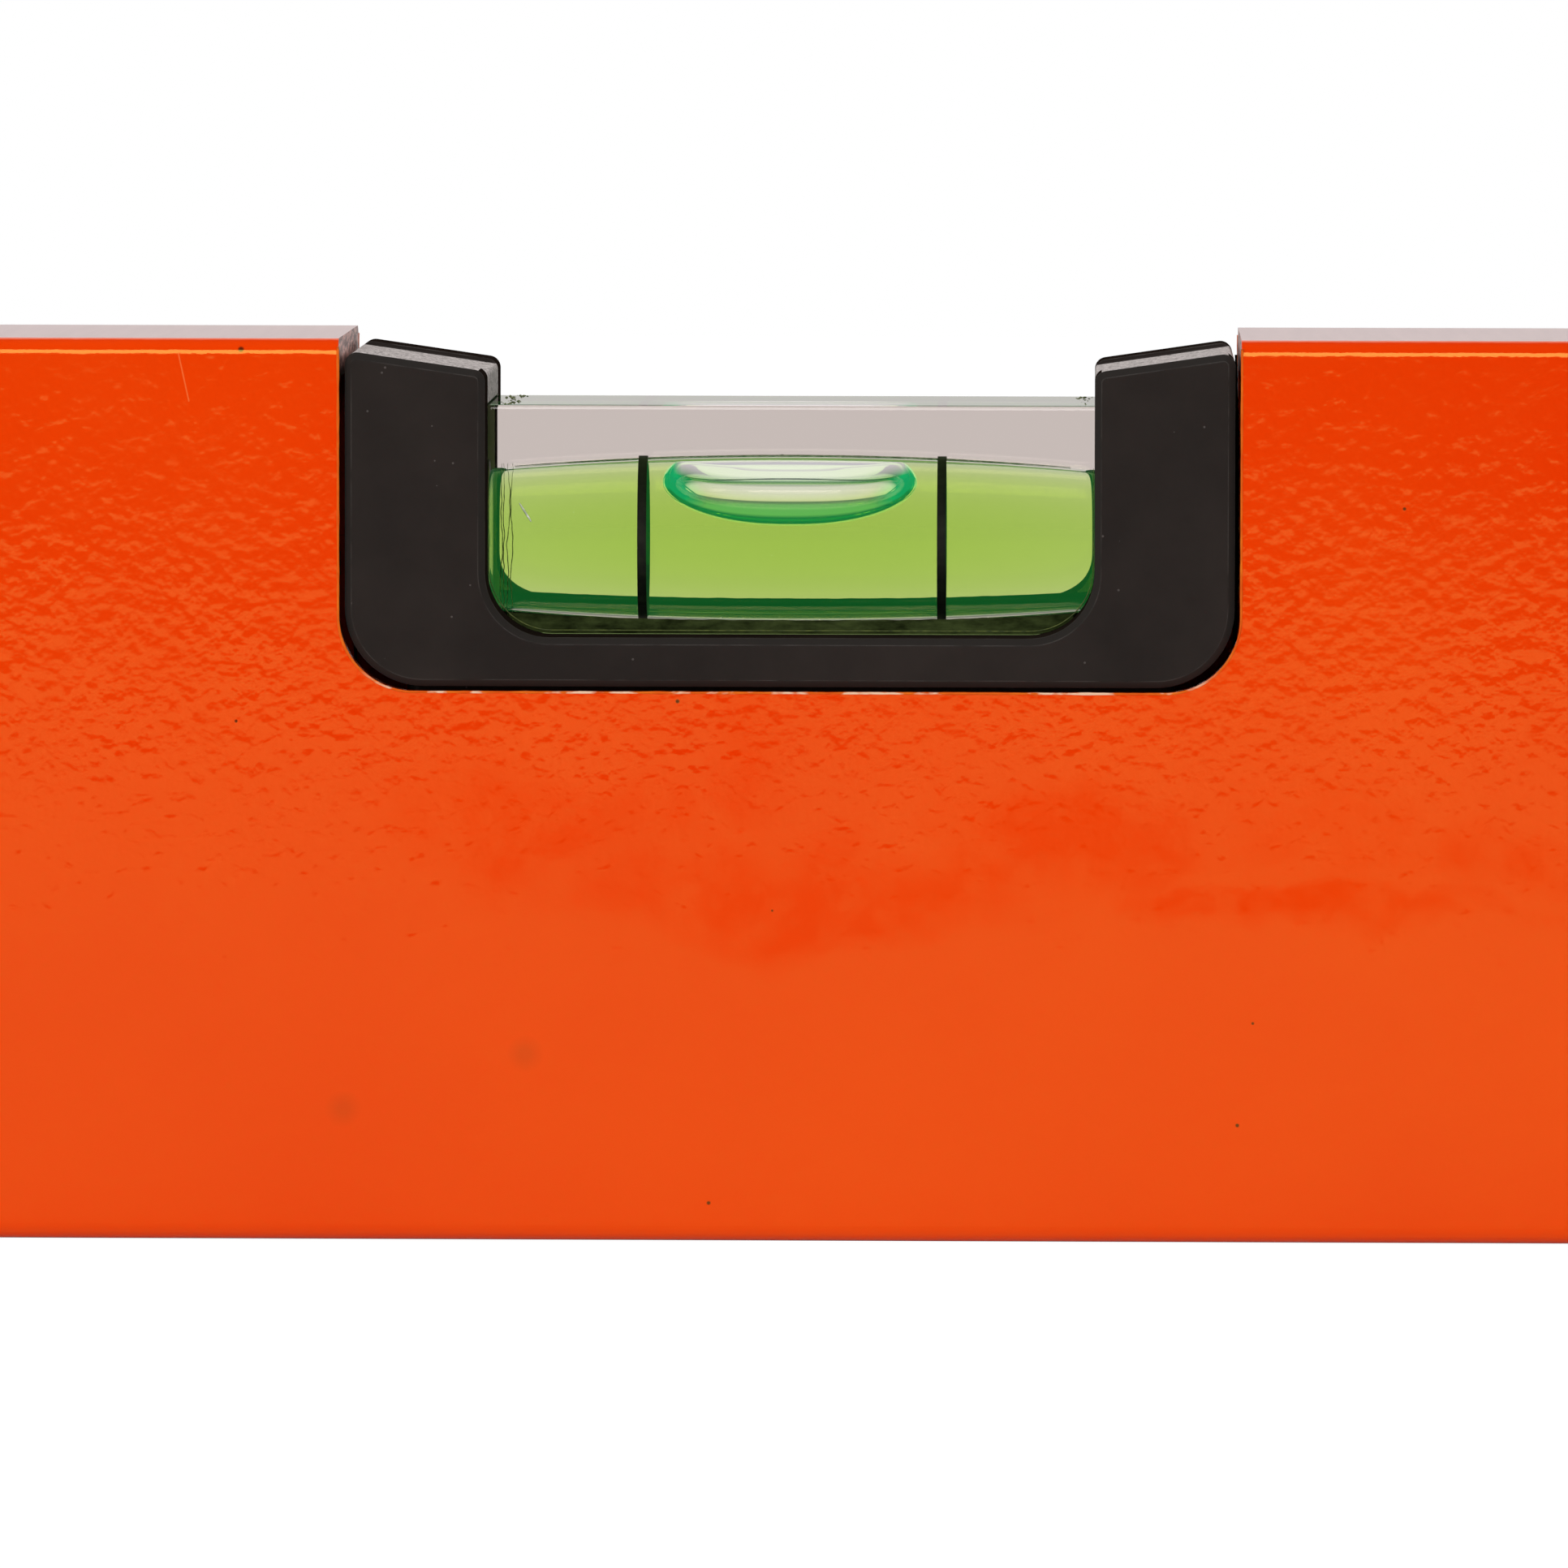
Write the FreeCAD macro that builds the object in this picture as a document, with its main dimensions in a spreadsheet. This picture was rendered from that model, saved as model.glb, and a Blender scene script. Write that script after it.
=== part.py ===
import FreeCAD, Part
import math
import os
import re
import Sketcher

# Box beam level: a painted aluminium box extrusion, with a level vial in a notch
# in its top edge and a plumb vial near each end.
# Frame: X along the beam, front face towards -Y, Z up, base face on Z = 0,
# origin under the middle of the beam. All sizes are millimetres.

# Driving sizes: name, value and what it is
sizes = [
    # the extrusion
    ("overallLength", 400, "length over both end caps"),
    ("beamDepth", 25, "front face to back face"),
    ("beamHeight", 60, "base face to top face"),
    ("edgeRound", 1.1, "radius along the four long edges"),
    ("sideWall", 1.8, "wall behind the front and back faces"),
    ("faceWall", 2.6, "wall behind the two measuring faces"),
    ("webThickness", 1.6, "web between the two hollows"),
    ("hollowRound", 1.2, "radius in the corners of the hollows"),
    ("stiffenerWidth", 1.6, "rib along the inside of each side wall"),
    ("stiffenerHeight", 1.0, "how far that rib stands into the hollow"),
    ("overrun", 5, "how far a cut runs past the face it opens"),
    # the notch and the holder in it
    ("notchRound", 5.0, "radius in the corners of the notch floor"),
    ("notchGapSide", 0.4, "gap from holder to notch at each side"),
    ("notchGapBelow", 0.35, "gap from holder to the notch floor"),
    ("towerWidth", 9.3, "width of each upright of the holder"),
    ("towerDrop", 0.8, "uprights end this far below the top face"),
    ("towerSlope", 1.35, "fall of an upright's top towards the vial"),
    ("towerRound", 0.8, "radius at the top corners of an upright"),
    ("holderFloor", 2.5, "holder under the vial block"),
    ("holderRound", 5.2, "radius at the holder's lower corners"),
    ("holderBevel", 0.45, "bevel round the holder's two faces"),
    ("webRecess", 0.3, "middle of an upright lies below its plates"),
    ("sightSill", 0.75, "plate that covers the block's lower edge"),
    ("sightJaw", 1.3, "upright that covers each end of the block"),
    ("sightRound", 4.3, "radius in the lower corners of the opening"),
    ("tongueDepth", 4.0, "tongue that stands in the upper hollow"),
    ("tongueInset", 4.0, "tongue is shorter than the holder at each end"),
    ("tongueFit", 0.2, "gap from tongue to side wall"),
    ("blockFit", 0.1, "gap round a vial block in its pocket"),
    # the level vial
    ("levelDrop", 4.55, "block's top below the beam's top face"),
    ("levelLength", 43, "block along its bore"),
    ("levelHeight", 16, "block from floor to top"),
    ("levelDepth", 15.5, "block front to back"),
    ("levelFloor", 1.2, "acrylic under the bore"),
    ("levelRadius", 5.65, "bore radius at mid length"),
    ("levelCurve", 230, "radius of the barrel that the bore follows"),
    ("levelRingSpacing", 20, "between the two reading rings"),
    ("levelBubbleLength", 16.6, "bubble at rest"),
    ("levelBubbleHeight", 4.5, "bubble from its flat underside to its top"),
    ("levelBubbleInset", 0.75, "bubble's radius is less than the bore's by this"),
    # the two plumb vials
    ("plumbInset", 50, "from each end of the level to the middle of its plumb vial"),
    ("plumbLength", 34, "block along its bore"),
    ("plumbWidth", 14, "block across its bore, both ways"),
    ("plumbRadius", 4.5, "bore radius at mid length"),
    ("plumbCurve", 150, "radius of the barrel that the bore follows"),
    ("plumbRingSpacing", 14, "between the two reading rings"),
    ("plumbBubbleLength", 4.2, "bubble in the top end of the upright bore"),
    # what all the vials share
    ("plugThickness", 1.2, "plug that closes the bore"),
    ("plugStep", 0.5, "plug is wider than the bore's end by this"),
    ("endWall", 0.9, "acrylic past the blind end of the bore"),
    ("ringWidth", 0.6, "reading ring along the bore"),
    ("ringDepth", 0.1, "reading ring let into the bore's wall"),
    ("blockBevel", 0.3, "bevel on the block's edges"),
    ("bubbleGap", 0.12, "film between a bubble and the wall"),
    ("bubbleTaper", 1.2, "taper at both ends of a plumb bubble"),
    # the bezels of the plumb vials
    ("bezelWall", 1.3, "bezel's barrel outside the block's corners"),
    ("bezelFit", 0.3, "gap from bezel to beam all round"),
    ("bezelLap", 2.3, "flange past the bezel's barrel"),
    ("bezelLip", 0.6, "flange stands proud of the beam's face"),
    ("bezelRim", 3.0, "flat rim of the flange"),
    ("bezelDish", 1.5, "depth and run of the sloped ring inside the rim"),
    ("bezelCoverEnd", 3.5, "bezel over each end of the block"),
    ("bezelCoverSide", 1.75, "bezel over each side of the block"),
    ("bezelOpeningRound", 2.5, "radius in the corners of the opening"),
    ("bezelBevel", 0.4, "bevel on the flange's edge"),
    ("openingBevel", 0.8, "bevel round the opening"),
    # the end caps
    ("capFlange", 3.0, "flange outside the beam"),
    ("capInset", 0.3, "flange is smaller than the beam all round"),
    ("capRound", 1.0, "radius on the flange's outer edge"),
    ("capTenon", 12, "tenons inside the hollows"),
    ("capWall", 1.8, "wall of a tenon"),
    ("capFit", 0.25, "gap from tenon to hollow"),
    ("crushRib", 0.9, "width of a crush rib on a tenon"),
    ("crushSpread", 9, "between the two crush ribs on one side"),
    ("crushFit", 0.05, "gap from crush rib to side wall"),
]

doc = FreeCAD.newDocument("BoxBeamLevel")
sheet = doc.addObject("Spreadsheet::Sheet", "Sizes")
for row, (alias, value, note) in enumerate(sizes, start=1):
    sheet.set(f"A{row}", note)
    sheet.set(f"B{row}", str(value))
    sheet.setAlias(f"B{row}", alias)
doc.recompute()
aliases = {alias for alias, value, note in sizes}

# Places worked out from the sizes, written as expressions
beamEnd = "(overallLength / 2 - capFlange)"
plumbPlace = "(overallLength / 2 - plumbInset)"
hollowSide = "(beamDepth / 2 - sideWall)"
hollowTop = "(beamHeight - faceWall)"
blockTop = "(beamHeight - levelDrop)"
blockBottom = "(beamHeight - levelDrop - levelHeight)"
holderBottom = f"({blockBottom} - holderFloor)"
notchFloor = f"({holderBottom} - notchGapBelow)"
webTop = f"({notchFloor} - tongueDepth)"
pocketHalf = "(levelLength / 2 + blockFit)"
sightHalf = "(levelLength / 2 - sightJaw)"
holderHalf = f"({sightHalf} + towerWidth)"
notchHalf = f"({holderHalf} + notchGapSide)"
levelAxis = f"({blockBottom} + levelFloor + levelRadius)"
barrelRadius = "(sqrt((plumbLength / 2)^2 + (plumbWidth / 2)^2) + bezelWall)"
boreRadius = f"({barrelRadius} + bezelFit)"
flangeRadius = f"({barrelRadius} + bezelLap)"


def bound(text):
    """The expression with each size's name turned into its cell."""
    def cell(word):
        return "Sizes." + word.group() if word.group() in aliases else word.group()

    return re.sub(r"[A-Za-z]\w*", cell, text)


def measure(text):
    """The number that an expression gives now."""
    return float(sheet.evalExpression(bound(text)))


def new_body(label, base=("0", "0", "0"), turn=None):
    """A body with its node's name, and its place bound to the sizes."""
    body = doc.addObject("PartDesign::Body", label)
    body.Label = label
    if turn:
        body.Placement = FreeCAD.Placement(FreeCAD.Vector(), turn)
    for axis, text in zip("xyz", base):
        body.setExpression(f"Placement.Base.{axis}", bound(text))
    return body


def new_sketch(body, name, plane, lift="0", across="0"):
    """A sketch on one of the body's planes: lift is along its normal, across is up the sheet."""
    sketch = body.newObject("Sketcher::SketchObject", name)
    support = next(item for item in body.Origin.OriginFeatures if item.Role == plane)
    sketch.AttachmentSupport = [(support, "")]
    sketch.MapMode = "FlatFace"
    # the sheet's own axes: x along the plane's first axis, y along its second
    sketch.setExpression("AttachmentOffset.Base.z", bound(lift))
    sketch.setExpression("AttachmentOffset.Base.y", bound(across))
    return sketch


def bind(sketch, constraint, text):
    """Adds a constraint and ties its value to the sizes."""
    index = sketch.addConstraint(constraint)
    sketch.setExpression(f"Constraints[{index}]", bound(text))


def pin_point(sketch, geometry, vertex, x, y):
    """Holds a point of the sketch at x and y."""
    bind(sketch, Sketcher.Constraint("DistanceX", -1, 1, geometry, vertex, measure(x)), x)
    bind(sketch, Sketcher.Constraint("DistanceY", -1, 1, geometry, vertex, measure(y)), y)


def outline(sketch, corners):
    """A closed outline through corners given as (x, y) or (x, y, radius)."""
    count = len(corners)
    points = [FreeCAD.Vector(measure(corner[0]), measure(corner[1]), 0) for corner in corners]
    arrive, leave, arcs = [], [], []
    for here, corner in enumerate(corners):
        back = (points[here - 1] - points[here]).normalize()
        ahead = (points[(here + 1) % count] - points[here]).normalize()
        radius = measure(corner[2]) if len(corner) > 2 else 0
        half = back.getAngle(ahead) / 2
        reach = radius / math.tan(half)
        arrive.append(points[here] + back * reach)
        leave.append(points[here] + ahead * reach)
        if radius:
            middle = points[here] + (back + ahead).normalize() * (radius / math.sin(half))
            turns_left = back.cross(ahead).z < 0
            first, last = (arrive[-1], leave[-1]) if turns_left else (leave[-1], arrive[-1])
            first, last = first - middle, last - middle
            circle = Part.Circle(middle, FreeCAD.Vector(0, 0, 1), radius)
            span = (math.atan2(first.y, first.x), math.atan2(last.y, last.x))
            arcs.append((Part.ArcOfCircle(circle, *span), turns_left))
        else:
            arcs.append(None)
    sides = [
        sketch.addGeometry(Part.LineSegment(leave[here], arrive[(here + 1) % count]))
        for here in range(count)
    ]
    for here, corner in enumerate(corners):
        mark = sketch.addGeometry(Part.Point(points[here]), True)
        pin_point(sketch, mark, 1, corner[0], corner[1])
        sketch.addConstraint(Sketcher.Constraint("PointOnObject", mark, 1, sides[here - 1]))
        sketch.addConstraint(Sketcher.Constraint("PointOnObject", mark, 1, sides[here]))
        if arcs[here]:
            shape, turns_left = arcs[here]
            arc = sketch.addGeometry(shape)
            start, end = (1, 2) if turns_left else (2, 1)
            sketch.addConstraint(Sketcher.Constraint("Tangent", sides[here - 1], 2, arc, start))
            sketch.addConstraint(Sketcher.Constraint("Tangent", arc, end, sides[here], 1))
            bind(sketch, Sketcher.Constraint("Radius", arc, measure(corner[2])), corner[2])
        else:
            meet = Sketcher.Constraint("Coincident", sides[here - 1], 2, sides[here], 1)
            sketch.addConstraint(meet)


def box_outline(sketch, x_half, y_low, y_high, radius=None):
    """A rectangle across x = 0, with four rounded corners where a radius is given."""
    ends = (radius,) if radius else ()
    outline(sketch, [
        (f"-{x_half}", y_low, *ends),
        (x_half, y_low, *ends),
        (x_half, y_high, *ends),
        (f"-{x_half}", y_high, *ends),
    ])


def circle_at(sketch, x, y, radius):
    """A circle with its middle at x and y."""
    middle = FreeCAD.Vector(measure(x), measure(y), 0)
    circle = Part.Circle(middle, FreeCAD.Vector(0, 0, 1), measure(radius))
    index = sketch.addGeometry(circle)
    pin_point(sketch, index, 3, x, y)
    bind(sketch, Sketcher.Constraint("Radius", index, measure(radius)), radius)


def barrel_outline(sketch, radius, curve, low, high):
    """Half of a barrel bore between x = low and x = high, over the sheet's x axis."""
    middle = FreeCAD.Vector(0, measure(radius) - measure(curve), 0)
    circle = Part.Circle(middle, FreeCAD.Vector(0, 0, 1), measure(curve))
    low_end = FreeCAD.Vector(measure(low), measure(radius_at(radius, curve, low)), 0)
    high_end = FreeCAD.Vector(measure(high), measure(radius_at(radius, curve, high)), 0)
    from_high, to_low = high_end - middle, low_end - middle
    span = (math.atan2(from_high.y, from_high.x), math.atan2(to_low.y, to_low.x))
    arc = sketch.addGeometry(Part.ArcOfCircle(circle, *span))
    foot_low, foot_high = FreeCAD.Vector(low_end.x, 0, 0), FreeCAD.Vector(high_end.x, 0, 0)
    fall = sketch.addGeometry(Part.LineSegment(low_end, foot_low))
    base = sketch.addGeometry(Part.LineSegment(foot_low, foot_high))
    rise = sketch.addGeometry(Part.LineSegment(foot_high, high_end))
    for first, second in ((arc, fall), (fall, base), (base, rise), (rise, arc)):
        sketch.addConstraint(Sketcher.Constraint("Coincident", first, 2, second, 1))
    sketch.addConstraint(Sketcher.Constraint("Vertical", fall))
    sketch.addConstraint(Sketcher.Constraint("Vertical", rise))
    pin_point(sketch, base, 1, low, "0")
    pin_point(sketch, base, 2, high, "0")
    pin_point(sketch, arc, 3, "0", f"{radius} - {curve}")
    bind(sketch, Sketcher.Constraint("Radius", arc, measure(curve)), curve)


def radius_at(radius, curve, x):
    """The bore's radius at x, as an expression."""
    return f"({radius} - {curve} + sqrt({curve}^2 - ({x})^2))"


def pad(body, sketch, name, length, symmetric=False, reverse=False):
    """Material from the sketch along its normal, or to both sides of it."""
    feature = body.newObject("PartDesign::Pad", name)
    feature.Profile = sketch
    feature.setExpression("Length", bound(length))
    feature.SideType = "Symmetric" if symmetric else "One side"
    feature.Reversed = reverse
    doc.recompute()
    return feature


def pocket(body, sketch, name, length=None, symmetric=False, reverse=False):
    """A cut from the sketch, through everything where no length is given."""
    before = body.Shape.Volume
    feature = body.newObject("PartDesign::Pocket", name)
    feature.Profile = sketch
    feature.SideType = "Symmetric" if symmetric else "One side"
    feature.Reversed = reverse
    if length:
        feature.setExpression("Length", bound(length))
    else:
        feature.Type = "ThroughAll"
    doc.recompute()
    check_cut(body, name, before)
    return feature


def turn_solid(body, sketch, name, axis="H_Axis"):
    """A solid of revolution about one of the sketch's axes."""
    feature = body.newObject("PartDesign::Revolution", name)
    feature.Profile = sketch
    feature.ReferenceAxis = (sketch, [axis])
    feature.Angle = 360
    doc.recompute()
    return feature


def turn_cut(body, sketch, name, axis="H_Axis"):
    """A cut of revolution about one of the sketch's axes."""
    before = body.Shape.Volume
    feature = body.newObject("PartDesign::Groove", name)
    feature.Profile = sketch
    feature.ReferenceAxis = (sketch, [axis])
    feature.Angle = 360
    doc.recompute()
    check_cut(body, name, before)
    return feature


def check_cut(body, name, before):
    """Stops the build where a cut took nothing away."""
    if body.Shape.Volume >= before:
        raise RuntimeError(f"{body.Label}: {name} cuts nothing")


def dress_edges(body, kind, name, size, picks):
    """A fillet or a chamfer on the edges for which picks is true."""
    base = body.Tip
    edges = [f"Edge{n}" for n, edge in enumerate(base.Shape.Edges, start=1) if picks(edge)]
    if not edges:
        raise RuntimeError(f"{body.Label}: {name} finds no edge")
    feature = body.newObject(f"PartDesign::{kind}", name)
    feature.Base = (base, edges)
    feature.setExpression("Radius" if kind == "Fillet" else "Size", bound(size))
    doc.recompute()
    return feature


def lies_at(edge, axis, place):
    """True where the whole edge lies in the plane across axis at place."""
    box = edge.BoundBox
    low, high = getattr(box, axis + "Min"), getattr(box, axis + "Max")
    return abs(low - place) < 0.001 and abs(high - place) < 0.001


def make_beam():
    """The extrusion: two hollows, the notch for the level vial and two round bores."""
    body = new_body("beam")
    section = new_sketch(body, "BeamSection", "YZ_Plane")
    box_outline(section, "beamDepth / 2", "0", "beamHeight", "edgeRound")
    for low, high in (("faceWall", f"{webTop} - webThickness"), (webTop, hollowTop)):
        hollow_outline(section, low, high)
    pad(body, section, "Extrusion", f"2 * {beamEnd}", symmetric=True)

    notch = new_sketch(body, "NotchSide", "XZ_Plane")
    outline(notch, [
        (f"-{notchHalf}", notchFloor, "notchRound"),
        (notchHalf, notchFloor, "notchRound"),
        (notchHalf, "beamHeight + overrun"),
        (f"-{notchHalf}", "beamHeight + overrun"),
    ])
    pocket(body, notch, "Notch", symmetric=True)

    bores = new_sketch(body, "PlumbBoreCircles", "XZ_Plane")
    for side in ("-", ""):
        circle_at(bores, f"{side}{plumbPlace}", "beamHeight / 2", boreRadius)
    pocket(body, bores, "PlumbBores", symmetric=True)
    return body


def hollow_outline(sketch, low, high):
    """One hollow of the extrusion, with a stiffening rib half way up each side wall."""
    rib_low = f"(({low}) + ({high}) - stiffenerWidth) / 2"
    rib_high = f"(({low}) + ({high}) + stiffenerWidth) / 2"
    rib_side = f"({hollowSide} - stiffenerHeight)"
    outline(sketch, [
        (f"-{hollowSide}", low, "hollowRound"),
        (hollowSide, low, "hollowRound"),
        (hollowSide, rib_low),
        (rib_side, rib_low),
        (rib_side, rib_high),
        (hollowSide, rib_high),
        (hollowSide, high, "hollowRound"),
        (f"-{hollowSide}", high, "hollowRound"),
        (f"-{hollowSide}", rib_high),
        (f"-{rib_side}", rib_high),
        (f"-{rib_side}", rib_low),
        (f"-{hollowSide}", rib_low),
    ])


def make_holder():
    """The black U that fills the notch: two plates, with the vial's pocket between them."""
    body = new_body("level_holder")
    sill = f"({blockBottom} + sightSill)"
    outer_top = "(beamHeight - towerDrop)"
    inner_top = "(beamHeight - towerDrop - towerSlope)"

    side = new_sketch(body, "HolderSide", "XZ_Plane")
    outline(side, [
        (f"-{holderHalf}", holderBottom, "holderRound"),
        (holderHalf, holderBottom, "holderRound"),
        (holderHalf, outer_top, "towerRound"),
        (sightHalf, inner_top, "towerRound"),
        (sightHalf, sill, "sightRound"),
        (f"-{sightHalf}", sill, "sightRound"),
        (f"-{sightHalf}", inner_top, "towerRound"),
        (f"-{holderHalf}", outer_top, "towerRound"),
    ])
    pad(body, side, "HolderPlates", "beamDepth", symmetric=True)
    face = measure("beamDepth / 2")
    dress_edges(body, "Chamfer", "FaceBevel", "holderBevel",
                lambda edge: lies_at(edge, "Y", face) or lies_at(edge, "Y", -face))

    # the uprights are moulded over both ends of the block
    seat = new_sketch(body, "VialSeatSide", "XZ_Plane")
    box_outline(seat, pocketHalf, blockBottom, f"({blockTop} + blockFit)")
    pocket(body, seat, "VialSeat", "levelDepth + 2 * blockFit", symmetric=True)

    # the middle of each upright lies a little below its two plates
    slope = f"(towerSlope / ({holderHalf} - {sightHalf}))"
    for name, side_sign in (("Left", "-"), ("Right", "")):
        recess = new_sketch(body, f"{name}RecessSide", "XZ_Plane")
        low_outer = f"{outer_top} - webRecess"
        low_inner = f"{outer_top} - webRecess - {slope} * ({holderHalf} - {sightHalf} + overrun)"
        outline(recess, [
            (f"{side_sign}({sightHalf} - overrun)", low_inner),
            (f"{side_sign}{holderHalf}", low_outer),
            (f"{side_sign}({holderHalf} + overrun)", low_outer),
            (f"{side_sign}({holderHalf} + overrun)", "beamHeight + overrun"),
            (f"{side_sign}({sightHalf} - overrun)", "beamHeight + overrun"),
        ])
        pocket(body, recess, f"{name}WebRecess", "levelDepth + 2 * blockFit", symmetric=True)

    # a hidden tongue drops into the upper hollow and stands on the web
    tongue = new_sketch(body, "TonguePlan", "XY_Plane", lift=holderBottom)
    reach = f"({hollowSide} - tongueFit)"
    box_outline(tongue, f"({holderHalf} - tongueInset)", f"-{reach}", reach, "hollowRound")
    pad(body, tongue, "Tongue", f"{holderBottom} - {webTop}", reverse=True)
    foot = measure(webTop)
    dress_edges(body, "Chamfer", "TongueLead", "hollowRound",
                lambda edge: lies_at(edge, "Z", foot))
    return body


def make_vial_block(label, place, turn, name, section, radius, curve, spacing):
    """A clear block with a barrel bore along X, its plug seat and two ring grooves.

    section gives the block's half depth, its floor and its top about the bore's axis.
    """
    length = f"{name}Length"
    bore_low, bore_high = bore_ends(length)
    body = new_body(label, place, turn)
    end = new_sketch(body, label + "_end", "YZ_Plane")
    box_outline(end, *section)
    pad(body, end, label + "_blank", length, symmetric=True)
    dress_edges(body, "Chamfer", label + "_bevel", "blockBevel", lambda edge: True)

    bore = new_sketch(body, label + "_bore_half", "XZ_Plane")
    barrel_outline(bore, radius, curve, bore_low, bore_high)
    turn_cut(body, bore, label + "_bore")

    seat = new_sketch(body, label + "_seat_half", "XZ_Plane")
    half_strip(seat, f"-{length} / 2 - overrun", bore_low, plug_radius(length, radius, curve))
    turn_cut(body, seat, label + "_plug_seat")

    for side, sign in (("low", "-"), ("high", "")):
        groove = new_sketch(body, f"{label}_{side}_groove_half", "XZ_Plane")
        ring_outline(groove, sign, radius, curve, spacing)
        turn_cut(body, groove, f"{label}_{side}_groove")
    return body


def bore_ends(length):
    """Where the bore starts at its plug and where it ends, along its own axis."""
    return f"(plugThickness - {length} / 2)", f"({length} / 2 - endWall)"


def plug_radius(length, radius, curve):
    """The plug is a little wider than the bore's open end."""
    return f"({radius_at(radius, curve, bore_ends(length)[0])} + plugStep)"


def half_strip(sketch, low, high, radius):
    """Half of a plain cylinder between two places on the sheet's x axis."""
    outline(sketch, [(low, "0"), (high, "0"), (high, radius), (low, radius)])


def ring_outline(sketch, sign, radius, curve, spacing):
    """One reading ring, its inner face flush with the bore."""
    near = f"({spacing} / 2 - ringWidth / 2)"
    far = f"({spacing} / 2 + ringWidth / 2)"
    outer = f"({radius_at(radius, curve, near)} + ringDepth)"
    outline(sketch, [
        (f"{sign}{near}", radius_at(radius, curve, near)),
        (f"{sign}{far}", radius_at(radius, curve, far)),
        (f"{sign}{far}", outer),
        (f"{sign}{near}", outer),
    ])


def make_ring(label, place, turn, sign, radius, curve, spacing):
    """A black reading ring let into the bore's wall."""
    body = new_body(label, place, turn)
    half = new_sketch(body, label + "_half", "XZ_Plane")
    ring_outline(half, sign, radius, curve, spacing)
    turn_solid(body, half, label + "_ring")
    return body


def make_plug(label, place, turn, length, radius, curve):
    """The disc that closes the bore's open end."""
    body = new_body(label, place, turn)
    half = new_sketch(body, label + "_half", "XZ_Plane")
    half_strip(half, f"-{length} / 2", bore_ends(length)[0], plug_radius(length, radius, curve))
    turn_solid(body, half, label + "_disc")
    return body


def make_level_vial():
    """The level vial: block, plug, rings, fluid and bubble, with its bore along X."""
    place = ("0", "0", levelAxis)
    bore = ("levelRadius", "levelCurve")
    section = ("levelDepth / 2", "-(levelFloor + levelRadius)",
               "levelHeight - levelFloor - levelRadius")
    make_vial_block("level_vial_block", place, None, "level", section, *bore, "levelRingSpacing")
    make_plug("level_vial_plug", place, None, "levelLength", *bore)
    make_ring("level_ring_left", place, None, "-", *bore, "levelRingSpacing")
    make_ring("level_ring_right", place, None, "", *bore, "levelRingSpacing")

    # the bubble: a round-ended lens under the top of the bore, flat below
    bubble_radius = "(levelRadius - levelBubbleInset)"
    rise = "(levelBubbleInset - bubbleGap)"
    underside = "(levelRadius - bubbleGap - levelBubbleHeight)"
    end_round = f"({bubble_radius} - levelBubbleInset)"
    bubble = new_body("level_bubble", place)
    half = new_sketch(bubble, "BubbleHalf", "XZ_Plane", across=rise)
    outline(half, [
        ("-levelBubbleLength / 2", "0"),
        ("levelBubbleLength / 2", "0"),
        ("levelBubbleLength / 2", bubble_radius, end_round),
        ("-levelBubbleLength / 2", bubble_radius, end_round),
    ])
    turn_solid(bubble, half, "BubbleLens")
    below = new_sketch(bubble, "BubbleUnderside", "XY_Plane", lift=underside)
    box_outline(below, "levelLength / 2", "-levelDepth / 2", "levelDepth / 2")
    pocket(bubble, below, "FlatUnderside")
    flat = measure(underside)
    dress_edges(bubble, "Chamfer", "UndersideBevel", "levelBubbleInset",
                lambda edge: lies_at(edge, "Z", flat))

    # the fluid fills the bore, apart from the room that the bubble takes
    fluid = new_body("level_fluid", place)
    filling = new_sketch(fluid, "FluidHalf", "XZ_Plane")
    barrel_outline(filling, *bore, *bore_ends("levelLength"))
    turn_solid(fluid, filling, "FluidBarrel")
    room = new_sketch(fluid, "BubbleRoom", "XY_Plane", lift=f"{underside} - bubbleGap")
    side = f"({bubble_radius} + bubbleGap)"
    box_outline(room, "(levelBubbleLength / 2 + bubbleGap)", f"-{side}", side)
    pocket(fluid, room, "RoomForBubble", reverse=True)


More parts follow.
